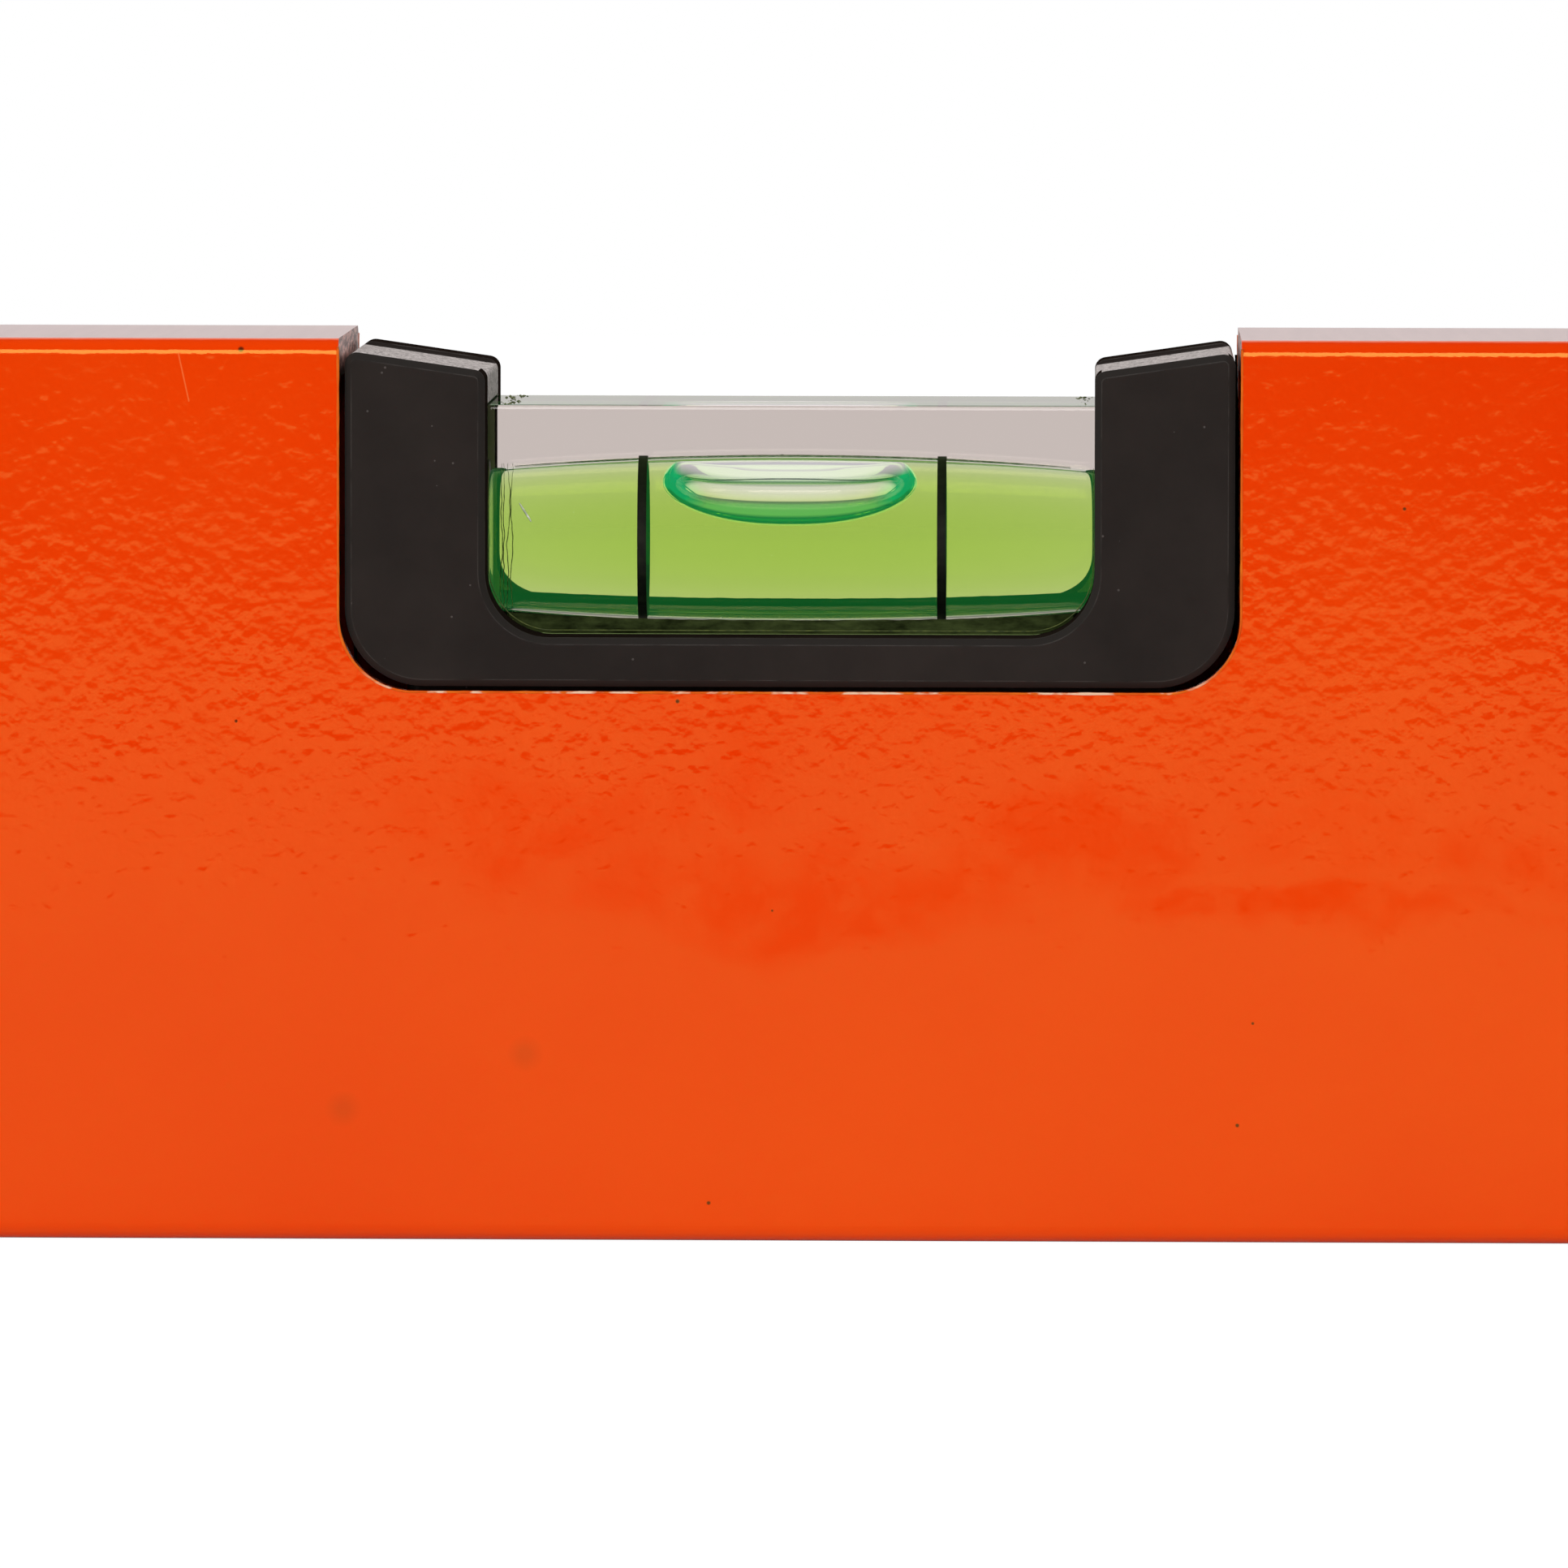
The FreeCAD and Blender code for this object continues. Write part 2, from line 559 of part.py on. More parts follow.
def make_plumb_vial(name, sign):
    """A plumb vial, with its bore upright, between a front and a back bezel."""
    centre = (f"{sign}{plumbPlace}", "0", "beamHeight / 2")
    upright = FreeCAD.Rotation(FreeCAD.Vector(0, 1, 0), -90)
    bore = ("plumbRadius", "plumbCurve")
    section = ("plumbWidth / 2", "-plumbWidth / 2", "plumbWidth / 2")
    make_vial_block(f"{name}_vial_block", centre, upright, "plumb", section, *bore,
                    "plumbRingSpacing")
    make_plug(f"{name}_vial_plug", centre, upright, "plumbLength", *bore)
    make_ring(f"{name}_ring_lower", centre, upright, "-", *bore, "plumbRingSpacing")
    make_ring(f"{name}_ring_upper", centre, upright, "", *bore, "plumbRingSpacing")

    # the bubble floats in the top end of the upright bore
    low, high = bore_ends("plumbLength")
    bubble_radius = f"({radius_at(*bore, high)} - bubbleGap)"
    bubble_high = f"({high} - bubbleGap)"
    bubble_low = f"({bubble_high} - plumbBubbleLength)"
    shoulder = f"({bubble_radius} - bubbleTaper)"
    bubble = new_body(f"{name}_bubble", centre, upright)
    half = new_sketch(bubble, f"{name}_bubble_half", "XZ_Plane")
    outline(half, [
        (bubble_low, "0"),
        (bubble_high, "0"),
        (bubble_high, shoulder),
        (f"{bubble_high} - bubbleTaper", bubble_radius),
        (f"{bubble_low} + bubbleTaper", bubble_radius),
        (bubble_low, shoulder),
    ])
    turn_solid(bubble, half, f"{name}_bubble_lens")

    fluid = new_body(f"{name}_fluid", centre, upright)
    filling = new_sketch(fluid, f"{name}_fluid_half", "XZ_Plane")
    barrel_outline(filling, *bore, low, f"({bubble_low} - bubbleGap)")
    turn_solid(fluid, filling, f"{name}_fluid_barrel")

    turned = FreeCAD.Rotation(FreeCAD.Vector(0, 0, 1), 180)
    for face, turn in (("front", None), ("back", turned)):
        make_bezel(f"{name}_bezel_{face}", centre, turn)


def make_bezel(label, centre, turn):
    """Half of a plumb vial's mount: a flange on the beam's face and a barrel inside it."""
    body = new_body(label, centre, turn)
    face = "(beamDepth / 2)"
    proud = "(beamDepth / 2 + bezelLip)"
    dish_outer = f"({flangeRadius} - bezelRim)"
    half = new_sketch(body, label + "_half", "XY_Plane")
    outline(half, [
        ("0", "0"),
        (barrelRadius, "0"),
        (barrelRadius, f"-{face}"),
        (flangeRadius, f"-{face}"),
        (flangeRadius, f"-({proud} - bezelBevel)"),
        (f"({flangeRadius} - bezelBevel)", f"-{proud}"),
        (dish_outer, f"-{proud}"),
        (f"({dish_outer} - bezelDish)", f"-({proud} - bezelDish)"),
        ("0", f"-({proud} - bezelDish)"),
    ])
    turn_solid(body, half, label + "_turned", "V_Axis")

    opening = new_sketch(body, label + "_opening_side", "XZ_Plane")
    opening_top = "(plumbLength / 2 - bezelCoverEnd)"
    box_outline(opening, "(plumbWidth / 2 - bezelCoverSide)", f"-{opening_top}", opening_top,
                "bezelOpeningRound")
    pocket(body, opening, label + "_opening", proud, reverse=True)
    floor = -measure(f"{proud} - bezelDish")
    limit = measure(f"sqrt(({opening_top})^2 + (plumbWidth / 2 - bezelCoverSide)^2)")
    dress_edges(body, "Chamfer", label + "_opening_bevel", "openingBevel",
                lambda edge: lies_at(edge, "Y", floor) and edge_reach(edge) < limit)

    seat = new_sketch(body, label + "_seat_side", "XZ_Plane")
    seat_top = "(plumbLength / 2 + blockFit)"
    box_outline(seat, "(plumbWidth / 2 + blockFit)", f"-{seat_top}", seat_top)
    pocket(body, seat, label + "_vial_seat", "plumbWidth / 2", reverse=True)
    return body


def edge_reach(edge):
    """How far an edge's ends lie from the Y axis."""
    return max(math.hypot(vertex.X, vertex.Z) for vertex in edge.Vertexes)


def make_end_cap(label, sign, turn):
    """A moulded cap: a flange over the beam's end and a hollow tenon in each hollow."""
    body = new_body(label, (f"{sign}{beamEnd}", "0", "0"), turn)
    flange = new_sketch(body, label + "_flange_end", "YZ_Plane")
    box_outline(flange, "(beamDepth / 2 - capInset)", "capInset", "beamHeight - capInset",
                "edgeRound")
    pad(body, flange, label + "_flange", "capFlange")
    outside = measure("capFlange")
    dress_edges(body, "Fillet", label + "_flange_round", "capRound",
                lambda edge: lies_at(edge, "X", outside))

    hollows = (("lower", "faceWall", f"{webTop} - webThickness"), ("upper", webTop, hollowTop))
    tenon_side = f"({hollowSide} - stiffenerHeight - capFit)"
    for place, low, high in hollows:
        ring = new_sketch(body, f"{label}_{place}_tenon_end", "YZ_Plane")
        box_outline(ring, tenon_side, f"{low} + capFit", f"{high} - capFit", "hollowRound")
        box_outline(ring, f"({tenon_side} - capWall)", f"{low} + capFit + capWall",
                    f"{high} - capFit - capWall")
        pad(body, ring, f"{label}_{place}_tenon", "capTenon", reverse=True)

        ribs = new_sketch(body, f"{label}_{place}_ribs_end", "YZ_Plane")
        tip = f"({hollowSide} - crushFit)"
        root = f"({tenon_side} - capWall / 2)"
        for step in ("-", "+"):
            middle = f"(({low}) + ({high})) / 2 {step} crushSpread / 2"
            for y_low, y_high in ((f"-{tip}", f"-{root}"), (root, tip)):
                outline(ribs, [
                    (y_low, f"{middle} - crushRib / 2"),
                    (y_high, f"{middle} - crushRib / 2"),
                    (y_high, f"{middle} + crushRib / 2"),
                    (y_low, f"{middle} + crushRib / 2"),
                ])
        pad(body, ribs, f"{label}_{place}_crush_ribs", "capTenon - hollowRound", reverse=True)
    return body


def export_parts():
    """Checks every object of the document, then writes one STEP file for each body."""
    doc.recompute()
    broken = [item.Name for item in doc.Objects
              if "Invalid" in item.State or "Error" in item.State]
    if broken:
        raise RuntimeError(f"failed objects: {broken}")
    os.makedirs("parts", exist_ok=True)
    bodies = [item for item in doc.Objects if item.TypeId == "PartDesign::Body"]
    for body in bodies:
        if body.Shape.isNull() or not body.Shape.isValid() or len(body.Shape.Solids) != 1:
            raise RuntimeError(f"{body.Label}: its shape is not one valid solid")
    for body in bodies:
        body.Shape.exportStep(f"parts/{body.Label}.step")
    print(f"{len(bodies)} parts written")


make_beam()
make_holder()
make_level_vial()
make_plumb_vial("plumb_left", "-")
make_plumb_vial("plumb_right", "")
make_end_cap("end_cap_left", "-", FreeCAD.Rotation(FreeCAD.Vector(0, 0, 1), 180))
make_end_cap("end_cap_right", "", None)
export_parts()
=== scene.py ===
import math
import random
import bpy
import bmesh
from mathutils import Matrix, Vector, noise


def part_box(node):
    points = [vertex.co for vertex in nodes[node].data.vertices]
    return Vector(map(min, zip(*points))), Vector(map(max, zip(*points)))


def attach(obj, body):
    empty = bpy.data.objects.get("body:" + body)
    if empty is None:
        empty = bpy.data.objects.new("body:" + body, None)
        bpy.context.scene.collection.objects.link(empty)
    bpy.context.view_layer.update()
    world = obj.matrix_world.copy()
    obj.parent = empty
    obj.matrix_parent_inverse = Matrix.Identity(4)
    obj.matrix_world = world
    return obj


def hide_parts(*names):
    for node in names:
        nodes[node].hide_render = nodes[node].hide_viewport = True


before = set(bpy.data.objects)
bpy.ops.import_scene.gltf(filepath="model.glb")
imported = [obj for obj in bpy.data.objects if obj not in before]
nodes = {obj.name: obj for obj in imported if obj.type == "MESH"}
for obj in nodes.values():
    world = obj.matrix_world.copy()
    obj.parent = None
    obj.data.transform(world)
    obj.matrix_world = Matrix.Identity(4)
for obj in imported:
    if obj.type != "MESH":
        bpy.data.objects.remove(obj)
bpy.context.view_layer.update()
mm = 0.001  # all sizes below are written as millimetres times this
print("frame loaded")


# small helpers for materials

def startMaterial(name):
    material = bpy.data.materials.new(name)
    material.use_nodes = True
    tree = material.node_tree
    return material, tree, tree.nodes["Principled BSDF"]


def addNode(tree, kind, inputs=None, **settings):
    node = tree.nodes.new(kind)
    for name, value in settings.items():
        setattr(node, name, value)
    for name, value in (inputs or {}).items():
        setInput(tree, node.inputs[name], value)
    return node


def setInput(tree, socket, value):
    if isinstance(value, bpy.types.NodeSocket):
        tree.links.new(value, socket)
    else:
        socket.default_value = value


def mathOf(tree, operation, first, second=0.0):
    return addNode(tree, "ShaderNodeMath", {0: first, 1: second}, operation=operation).outputs[0]


def vectorOf(tree, operation, first, second=(0, 0, 0), out=0):
    node = addNode(tree, "ShaderNodeVectorMath", {0: first, 1: second}, operation=operation)
    return node.outputs[out]


def axesOf(tree, vector):
    return addNode(tree, "ShaderNodeSeparateXYZ", {0: vector}).outputs


def sizeOf(tree, value):
    return mathOf(tree, "ABSOLUTE", value)


def product(tree, *values):
    total = values[0]
    for value in values[1:]:
        total = mathOf(tree, "MULTIPLY", total, value)
    return total


def mixColours(tree, amount, first, second):
    mix = addNode(tree, "ShaderNodeMix", data_type="RGBA")
    for index, value in ((0, amount), (6, first), (7, second)):
        setInput(tree, mix.inputs[index], value)
    return mix.outputs[2]


def mixValues(tree, amount, first, second):
    mix = addNode(tree, "ShaderNodeMix", data_type="FLOAT")
    for index, value in ((0, amount), (2, first), (3, second)):
        setInput(tree, mix.inputs[index], value)
    return mix.outputs[0]


def spread(tree, value, low, high, start=0.0, end=1.0):
    # turns low..high into start..end, and holds it there
    inputs = {"Value": value, "From Min": low, "From Max": high, "To Min": start, "To Max": end}
    return addNode(tree, "ShaderNodeMapRange", inputs).outputs[0]


def objectPlace(tree):
    # where the shaded point is, in metres in the part's own frame
    return addNode(tree, "ShaderNodeTexCoord").outputs["Object"]


def grain(tree, place, perMetre, detail=3.0, roughness=0.5, stretch=None):
    if stretch:
        place = addNode(tree, "ShaderNodeMapping", {"Vector": place, "Scale": stretch}).outputs[0]
    inputs = {"Vector": place, "Scale": perMetre, "Detail": detail, "Roughness": roughness}
    return addNode(tree, "ShaderNodeTexNoise", inputs).outputs["Fac"]


def dots(tree, place, perMetre, size):
    # 1 inside small round spots, one in a part of the cells, and 0 elsewhere
    cells = addNode(tree, "ShaderNodeTexVoronoi", {"Vector": place, "Scale": perMetre})
    near = mathOf(tree, "LESS_THAN", cells.outputs["Distance"], size)
    pick = addNode(tree, "ShaderNodeSeparateColor", {0: cells.outputs["Color"]}).outputs[0]
    return mathOf(tree, "MULTIPLY", near, mathOf(tree, "GREATER_THAN", pick, 0.6))


def bumpOf(tree, height, distance, normal=None):
    inputs = {"Height": height, "Distance": distance, "Strength": 1.0}
    if normal:
        inputs["Normal"] = normal
    return addNode(tree, "ShaderNodeBump", inputs).outputs[0]


def dress(nodeName, material):
    node = nodes[nodeName]
    node.data.materials.clear()
    node.data.materials.append(material)


def newPiece(name, bm, material, body="root", smooth=True):
    mesh = bpy.data.meshes.new(name)
    bm.to_mesh(mesh)
    bm.free()
    for face in mesh.polygons:
        face.use_smooth = smooth
    mesh.materials.append(material)
    piece = bpy.data.objects.new(name, mesh)
    bpy.context.collection.objects.link(piece)
    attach(piece, body)
    return piece


# small helpers for meshes

def joinRings(bm, rings):
    # four-sided faces from each closed ring of points to the next
    for first, second in zip(rings, rings[1:]):
        for k in range(len(first)):
            after = (k + 1) % len(first)
            bm.faces.new((first[k], first[after], second[after], second[k]))


def closeTube(bm, rings):
    joinRings(bm, rings)
    bm.faces.new(rings[0])
    bm.faces.new(list(reversed(rings[-1])))
    bmesh.ops.recalc_face_normals(bm, faces=bm.faces)


def circleAngles(count):
    return [2 * math.pi * k / count for k in range(count)]


# camera, at the photograph's angle: nearly level, a little above the top face

cameraView = {
    "place": Vector((20.1, -913.5, 93.9)) * mm,
    "aim": Vector((-0.33, -12.5, 30.53)) * mm,
    "lens": 312.8,
    "sensor": 36,
    "roll": math.radians(0.09),
}


def makeCamera(view):
    camera = bpy.data.objects.new("camera", bpy.data.cameras.new("camera"))
    camera.data.lens = view["lens"]
    camera.data.sensor_width = view["sensor"]
    camera.location = view["place"]
    aim = (view["aim"] - view["place"]).to_track_quat("-Z", "Y").to_matrix()
    turn = Matrix.Rotation(view["roll"], 3, "Z")
    camera.rotation_euler = (aim @ turn).to_euler()
    bpy.context.collection.objects.link(camera)
    bpy.context.scene.camera = camera


# pale floor, white backdrop and soft lamps

studio = {
    "floorReach": 1.6,
    "floorFront": -0.68,  # its mirrored edge crosses the paint two thirds of the way up
    "floorTone": 0.8,
    "floorGlow": 0.95,
    "skyLight": 0.46,
    "frontReflection": 0.03,
    "backReflection": 1.0,
}
lamps = {
    "frontSoftbox": {"place": (0.05, -1.05, 0.46), "size": (0.9, 0.42), "power": 5.8},
    "overheadSoftbox": {"place": (0.0, 0.1, 1.3), "size": (1.2, 1.2), "power": 4.0,
                        "mirrored": False},
    "leftSoftbox": {"place": (-0.9, -0.7, 0.5), "size": (0.4, 0.6), "power": 2.5},
}


def makeFloor():
    material, tree, shader = startMaterial("paleFloor")
    tone = studio["floorTone"]
    shader.inputs["Base Color"].default_value = (tone, tone, tone, 1)
    shader.inputs["Roughness"].default_value = 0.9
    path = addNode(tree, "ShaderNodeLightPath")
    # mirrored rays see the floor as it is lit, with the shadow under the beam
    seen = mathOf(tree, "MAXIMUM", path.outputs["Is Camera Ray"], path.outputs["Is Transmission Ray"])
    glow = mathOf(tree, "MULTIPLY", seen, studio["floorGlow"])
    pale = addNode(tree, "ShaderNodeBsdfDiffuse", {"Color": (0.1, 0.1, 0.1, 1)})
    shine = addNode(tree, "ShaderNodeEmission", {"Color": (1, 1, 1, 1), "Strength": glow})
    both = addNode(tree, "ShaderNodeAddShader", {0: pale.outputs[0], 1: shine.outputs[0]})
    choice = addNode(tree, "ShaderNodeMixShader", {0: seen, 1: shader.outputs[0], 2: both.outputs[0]})
    tree.links.new(choice.outputs[0], tree.nodes["Material Output"].inputs[0])
    reach = studio["floorReach"]
    front = studio["floorFront"]
    corners = [(-reach, front), (reach, front), (reach, reach), (-reach, reach)]
    bm = bmesh.new()
    bm.faces.new([bm.verts.new((x, y, 0)) for x, y in corners])
    mesh = bpy.data.meshes.new("floor")
    bm.to_mesh(mesh)
    bm.free()
    mesh.materials.append(material)
    floor = bpy.data.objects.new("floor", mesh)
    bpy.context.collection.objects.link(floor)


def seenRay(tree):
    path = addNode(tree, "ShaderNodeLightPath")
    mirrored = mathOf(tree, "MAXIMUM", path.outputs["Is Glossy Ray"],
                      path.outputs["Is Transmission Ray"])
    return mathOf(tree, "MAXIMUM", path.outputs["Is Camera Ray"], mirrored)


def makeBackdrop():
    world = bpy.data.worlds.new("studio")
    world.use_nodes = True
    bpy.context.scene.world = world
    tree = world.node_tree
    way = addNode(tree, "ShaderNodeTexCoord").outputs["Generated"]
    depth = addNode(tree, "ShaderNodeSeparateXYZ", {0: way}).outputs["Y"]
    # the photographer's side of the room is dark, the other side is the white backdrop
    mirrored = spread(tree, depth, 0.45, 0.75, studio["frontReflection"], studio["backReflection"])
    camera = addNode(tree, "ShaderNodeLightPath").outputs["Is Camera Ray"]
    level = mathOf(tree, "MAXIMUM", camera, mirrored)
    seen = seenRay(tree)
    strength = mixValues(tree, seen, studio["skyLight"], level)
    background = tree.nodes["Background"]
    background.inputs["Color"].default_value = (1, 1, 1, 1)
    tree.links.new(strength, background.inputs["Strength"])


def makeLamps():
    for name, lamp in lamps.items():
        data = bpy.data.lights.new(name, "AREA")
        data.shape = "RECTANGLE"
        data.size, data.size_y = lamp["size"]
        data.energy = lamp["power"]
        light = bpy.data.objects.new(name, data)
        light.visible_glossy = lamp.get("mirrored", True)
        light.location = lamp["place"]
        toward = Vector((0, 0, 0.04)) - Vector(lamp["place"])
        light.rotation_euler = toward.to_track_quat("-Z", "Y").to_euler()
        bpy.context.collection.objects.link(light)


makeCamera(cameraView)
makeFloor()
makeBackdrop()
makeLamps()
bpy.context.scene.view_settings.view_transform = "Standard"
print("camera, floor and lamps ready")


# orange powder coat on the extrusion, with both measuring faces milled bare

paint = {
    "deep": (0.765, 0.032, 0.0001, 1),
    "light": (0.795, 0.044, 0.0004, 1),
    "tint": (0.70, 0.70, 0.14, 1),
    "specular": 1.0,
    "roughness": 0.07,
    "peel": [(1150, 1.3), (260, 0.75), (65, 1.2)],  # lumps to a metre, and their share
    "peelDepth": 0.021 * mm,
    "sawnReach": 31 * mm,
    "sawnDark": (0.13, 0.03, 0.02, 1),
    "sawnLight": (0.80, 0.43, 0.37, 1),
    "sawnGapShade": (0.03, 0.012, 0.01, 1),  # painted shade, lower down, in the gap
    "millSkin": 0.003 * mm,
    "millDark": (0.61, 0.455, 0.445, 1),
    "millLight": (0.67, 0.50, 0.485, 1),
    "millRoughness": 0.42,
    # nibs caught in the coat of the front face: x, z and radius
    "nibs": [(30.8, 14.7, 0.09), (29.8, 7.9, 0.12), (40.7, 48.9, 0.11), (-1.1, 22.1, 0.07),
             (-7.4, 36.0, 0.13), (-5.3, 2.6, 0.12), (-36.7, 34.6, 0.10), (-36.35, 59.3, 0.2)],
    "scratch": {"from": (-40.5, 59.0), "to": (-39.8, 55.8), "half": 0.05,
                "colour": (0.87, 0.17, 0.04, 1)},
    "nibColour": (0.12, 0.012, 0.003, 1),
    "stains": [(-17.5, 12.5, 0.8), (-29.6, 8.8, 0.8)],
    "stainColour": (0.42, 0.03, 0.005, 1),
    # smears where the lacquer is duller: x, z, half width, half height and strength
    "smears": [(-18, 27.5, 10, 4.5, 0.5), (-3, 31.6, 4.5, 4.5, 0.4), (2, 23.3, 16, 3.4, 0.6),
               (19, 26.5, 9, 4.2, 0.6), (33, 22, 13, 1.8, 0.75), (35.3, 27.7, 7, 4.8, 0.3),
               (47, 25.5, 6, 2.4, 0.5)],
}
beamLow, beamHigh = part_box("beam")


def spotMask(tree, place, x, z, radius, softness):
    # 1 in a round spot on the front face, fading out over its rim
    away = vectorOf(tree, "DISTANCE", place, (x * mm, beamLow.y, z * mm), "Value")
    return spread(tree, away, radius * mm * (1 - softness), radius * mm * (1 + softness), 1.0, 0.0)


def scratchMask(tree, axes, scratch):
    # 1 along a thin straight scratch on the front face
    start, end = Vector(scratch["from"]) * mm, Vector(scratch["to"]) * mm
    way = (end - start).normalized()
    reach = (end - start).length / 2
    right = mathOf(tree, "SUBTRACT", axes["X"], start.x)
    up = mathOf(tree, "SUBTRACT", axes["Z"], start.y)
    across = mathOf(tree, "SUBTRACT", product(tree, right, way.y), product(tree, up, way.x))
    along = mathOf(tree, "ADD", product(tree, right, way.x), product(tree, up, way.y))
    inside = mathOf(tree, "LESS_THAN", sizeOf(tree, mathOf(tree, "SUBTRACT", along, reach)), reach)
    front = mathOf(tree, "LESS_THAN", axes["Y"], 0.0)
    thin = spread(tree, sizeOf(tree, across), scratch["half"] * mm * 1.3, scratch["half"] * mm * 0.5)
    return product(tree, thin, inside, front)


def smearMask(tree, place):
    # ragged ovals, only on the front face
    clouds = addNode(tree, "ShaderNodeTexNoise", {"Vector": place, "Scale": 110, "Detail": 5})
    stray = (0.022, 0.0, 0.009)  # how far the noise moves a smear's edge, in metres
    shift = vectorOf(tree, "MULTIPLY", clouds.outputs["Color"], stray)
    moved = vectorOf(tree, "ADD", place, shift)
    total = 0.0
    for x, z, halfX, halfZ, strength in paint["smears"]:
        centre = (x * mm + stray[0] / 2, beamLow.y, z * mm + stray[2] / 2)
        away = vectorOf(tree, "SUBTRACT", moved, centre)
        scaled = vectorOf(tree, "MULTIPLY", away, (1 / (halfX * mm), 200, 1 / (halfZ * mm)))
        length = vectorOf(tree, "LENGTH", scaled, out="Value")
        total = mathOf(tree, "MAXIMUM", total, spread(tree, length, 0.55, 1.25, strength, 0.0))
    patchy = spread(tree, grain(tree, place, 420, 4, 0.6), 0.35, 0.6, 0.35, 1.0)
    return product(tree, total, patchy)


def makePaint():
    material, tree, shader = startMaterial("orangePowderCoat")
    place = objectPlace(tree)
    axes = axesOf(tree, place)
    height, along = axes["Z"], sizeOf(tree, axes["X"])
    onTop = mathOf(tree, "GREATER_THAN", height, beamHigh.z - paint["millSkin"])
    onBase = mathOf(tree, "LESS_THAN", height, paint["millSkin"])
    milled = mathOf(tree, "MAXIMUM", onTop, onBase)

    clouds = spread(tree, grain(tree, place, 22, 4), 0.35, 0.65)
    orange = mixColours(tree, clouds, paint["deep"], paint["light"])
    for x, z, radius in paint["nibs"]:
        nib = spotMask(tree, place, x, z, radius, 0.3)
        orange = mixColours(tree, nib, orange, paint["nibColour"])
    for x, z, radius in paint["stains"]:
        stain = product(tree, spotMask(tree, place, x, z, radius, 0.6), 0.3)
        orange = mixColours(tree, stain, orange, paint["stainColour"])
    scratch = product(tree, scratchMask(tree, axes, paint["scratch"]), 0.7)
    orange = mixColours(tree, scratch, orange, paint["scratch"]["colour"])
    # cutter marks run across the milled faces
    marks = grain(tree, place, 900, 4, 0.6, (1.0, 0.04, 1.0))
    metal = mixColours(tree, spread(tree, marks, 0.3, 0.7), paint["millDark"], paint["millLight"])
    # the ends of the notch are sawn: raw, rough and a little brown
    normal = addNode(tree, "ShaderNodeNewGeometry").outputs["Normal"]
    sideways = mathOf(tree, "GREATER_THAN", sizeOf(tree, axesOf(tree, normal)["X"]), 0.95)
    sawn = product(tree, sideways, mathOf(tree, "LESS_THAN", along, paint["sawnReach"]))
    rough = grain(tree, place, 1100, 5, 0.7, (1.0, 0.35, 1.6))
    raw = mixColours(tree, spread(tree, rough, 0.40, 0.58), paint["sawnDark"], paint["sawnLight"])
    # painted shade: the sawn face turns dark lower down, in the gap beside the holder
    upper = spread(tree, height, beamHigh.z - 2.6 * mm, beamHigh.z - 1.2 * mm)
    raw = mixColours(tree, upper, paint["sawnGapShade"], raw)
    colour = mixColours(tree, milled, orange, metal)
    setInput(tree, shader.inputs["Base Color"], mixColours(tree, sawn, colour, raw))

    dullest = paint["roughness"] + 0.04
    gloss = spread(tree, grain(tree, place, 140, 3), 0.3, 0.7, paint["roughness"], dullest)
    bare = mathOf(tree, "MAXIMUM", milled, sawn)
    setInput(tree, shader.inputs["Roughness"], mixValues(tree, bare, gloss, paint["millRoughness"]))
    dull = mathOf(tree, "SUBTRACT", 1.0, smearMask(tree, place))
    shine = product(tree, dull, paint["specular"])
    setInput(tree, shader.inputs["Specular IOR Level"], mixValues(tree, bare, shine, 0.5))
    tint = mixColours(tree, bare, paint["tint"], (1, 1, 1, 1))
    setInput(tree, shader.inputs["Specular Tint"], tint)

    peel = 0.0
    for perMetre, share in paint["peel"]:
        lumps = product(tree, grain(tree, place, perMetre, 2, 0.4), share)
        peel = mathOf(tree, "ADD", peel, lumps)
    relief = mixValues(tree, milled, peel, product(tree, marks, 0.5))
    relief = mixValues(tree, sawn, relief, product(tree, rough, 6.0))
    setInput(tree, shader.inputs["Normal"], bumpOf(tree, relief, paint["peelDepth"]))
    return material


orangePaint = makePaint()
dress("beam", orangePaint)


# the notch's cut edges: beads of paint, broken where the metal shows

notchEdge = {
    "radius": 0.09 * mm,
    "inset": 0.03 * mm,
    "topRound": 0.55 * mm,
    "cornerRound": 5.0 * mm,
    "step": 0.25 * mm,
    "around": 10,
}
holderLow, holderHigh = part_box("level_holder")
notchGap = {
    "side": 0.4 * mm,
    "below": 0.35 * mm,
    "tongue": 4.35 * mm,  # the holder's box also holds its hidden tongue
}


def notchPath():
    half = holderHigh.x + notchGap["side"]
    floor = holderLow.z + notchGap["tongue"] - notchGap["below"]
    return half, floor


def makeEdgePaint():
    material, tree, shader = startMaterial("edgePaint")
    place = objectPlace(tree)
    # the burr along the notch floor has lost its paint in dashes
    low = spread(tree, axesOf(tree, place)["Z"], 36.5 * mm, 38 * mm, 1.0, 0.0)
    dashes = spread(tree, grain(tree, place, 900, 3, 0.6, (0.5, 1.0, 1.0)), 0.50, 0.58)
    worn = product(tree, low, dashes)
    shade = spread(tree, grain(tree, place, 700), 0.3, 0.7)
    orange = mixColours(tree, shade, (0.62, 0.06, 0.004, 1), (0.72, 0.14, 0.01, 1))
    colour = mixColours(tree, worn, orange, (0.80, 0.55, 0.38, 1))
    setInput(tree, shader.inputs["Base Color"], colour)
    shader.inputs["Roughness"].default_value = 0.45
    shader.inputs["Specular IOR Level"].default_value = 0.25
    shader.inputs["Specular Tint"].default_value = paint["tint"]
    setInput(tree, shader.inputs["Normal"], bumpOf(tree, grain(tree, place, 2500), 0.03 * mm))
    return material


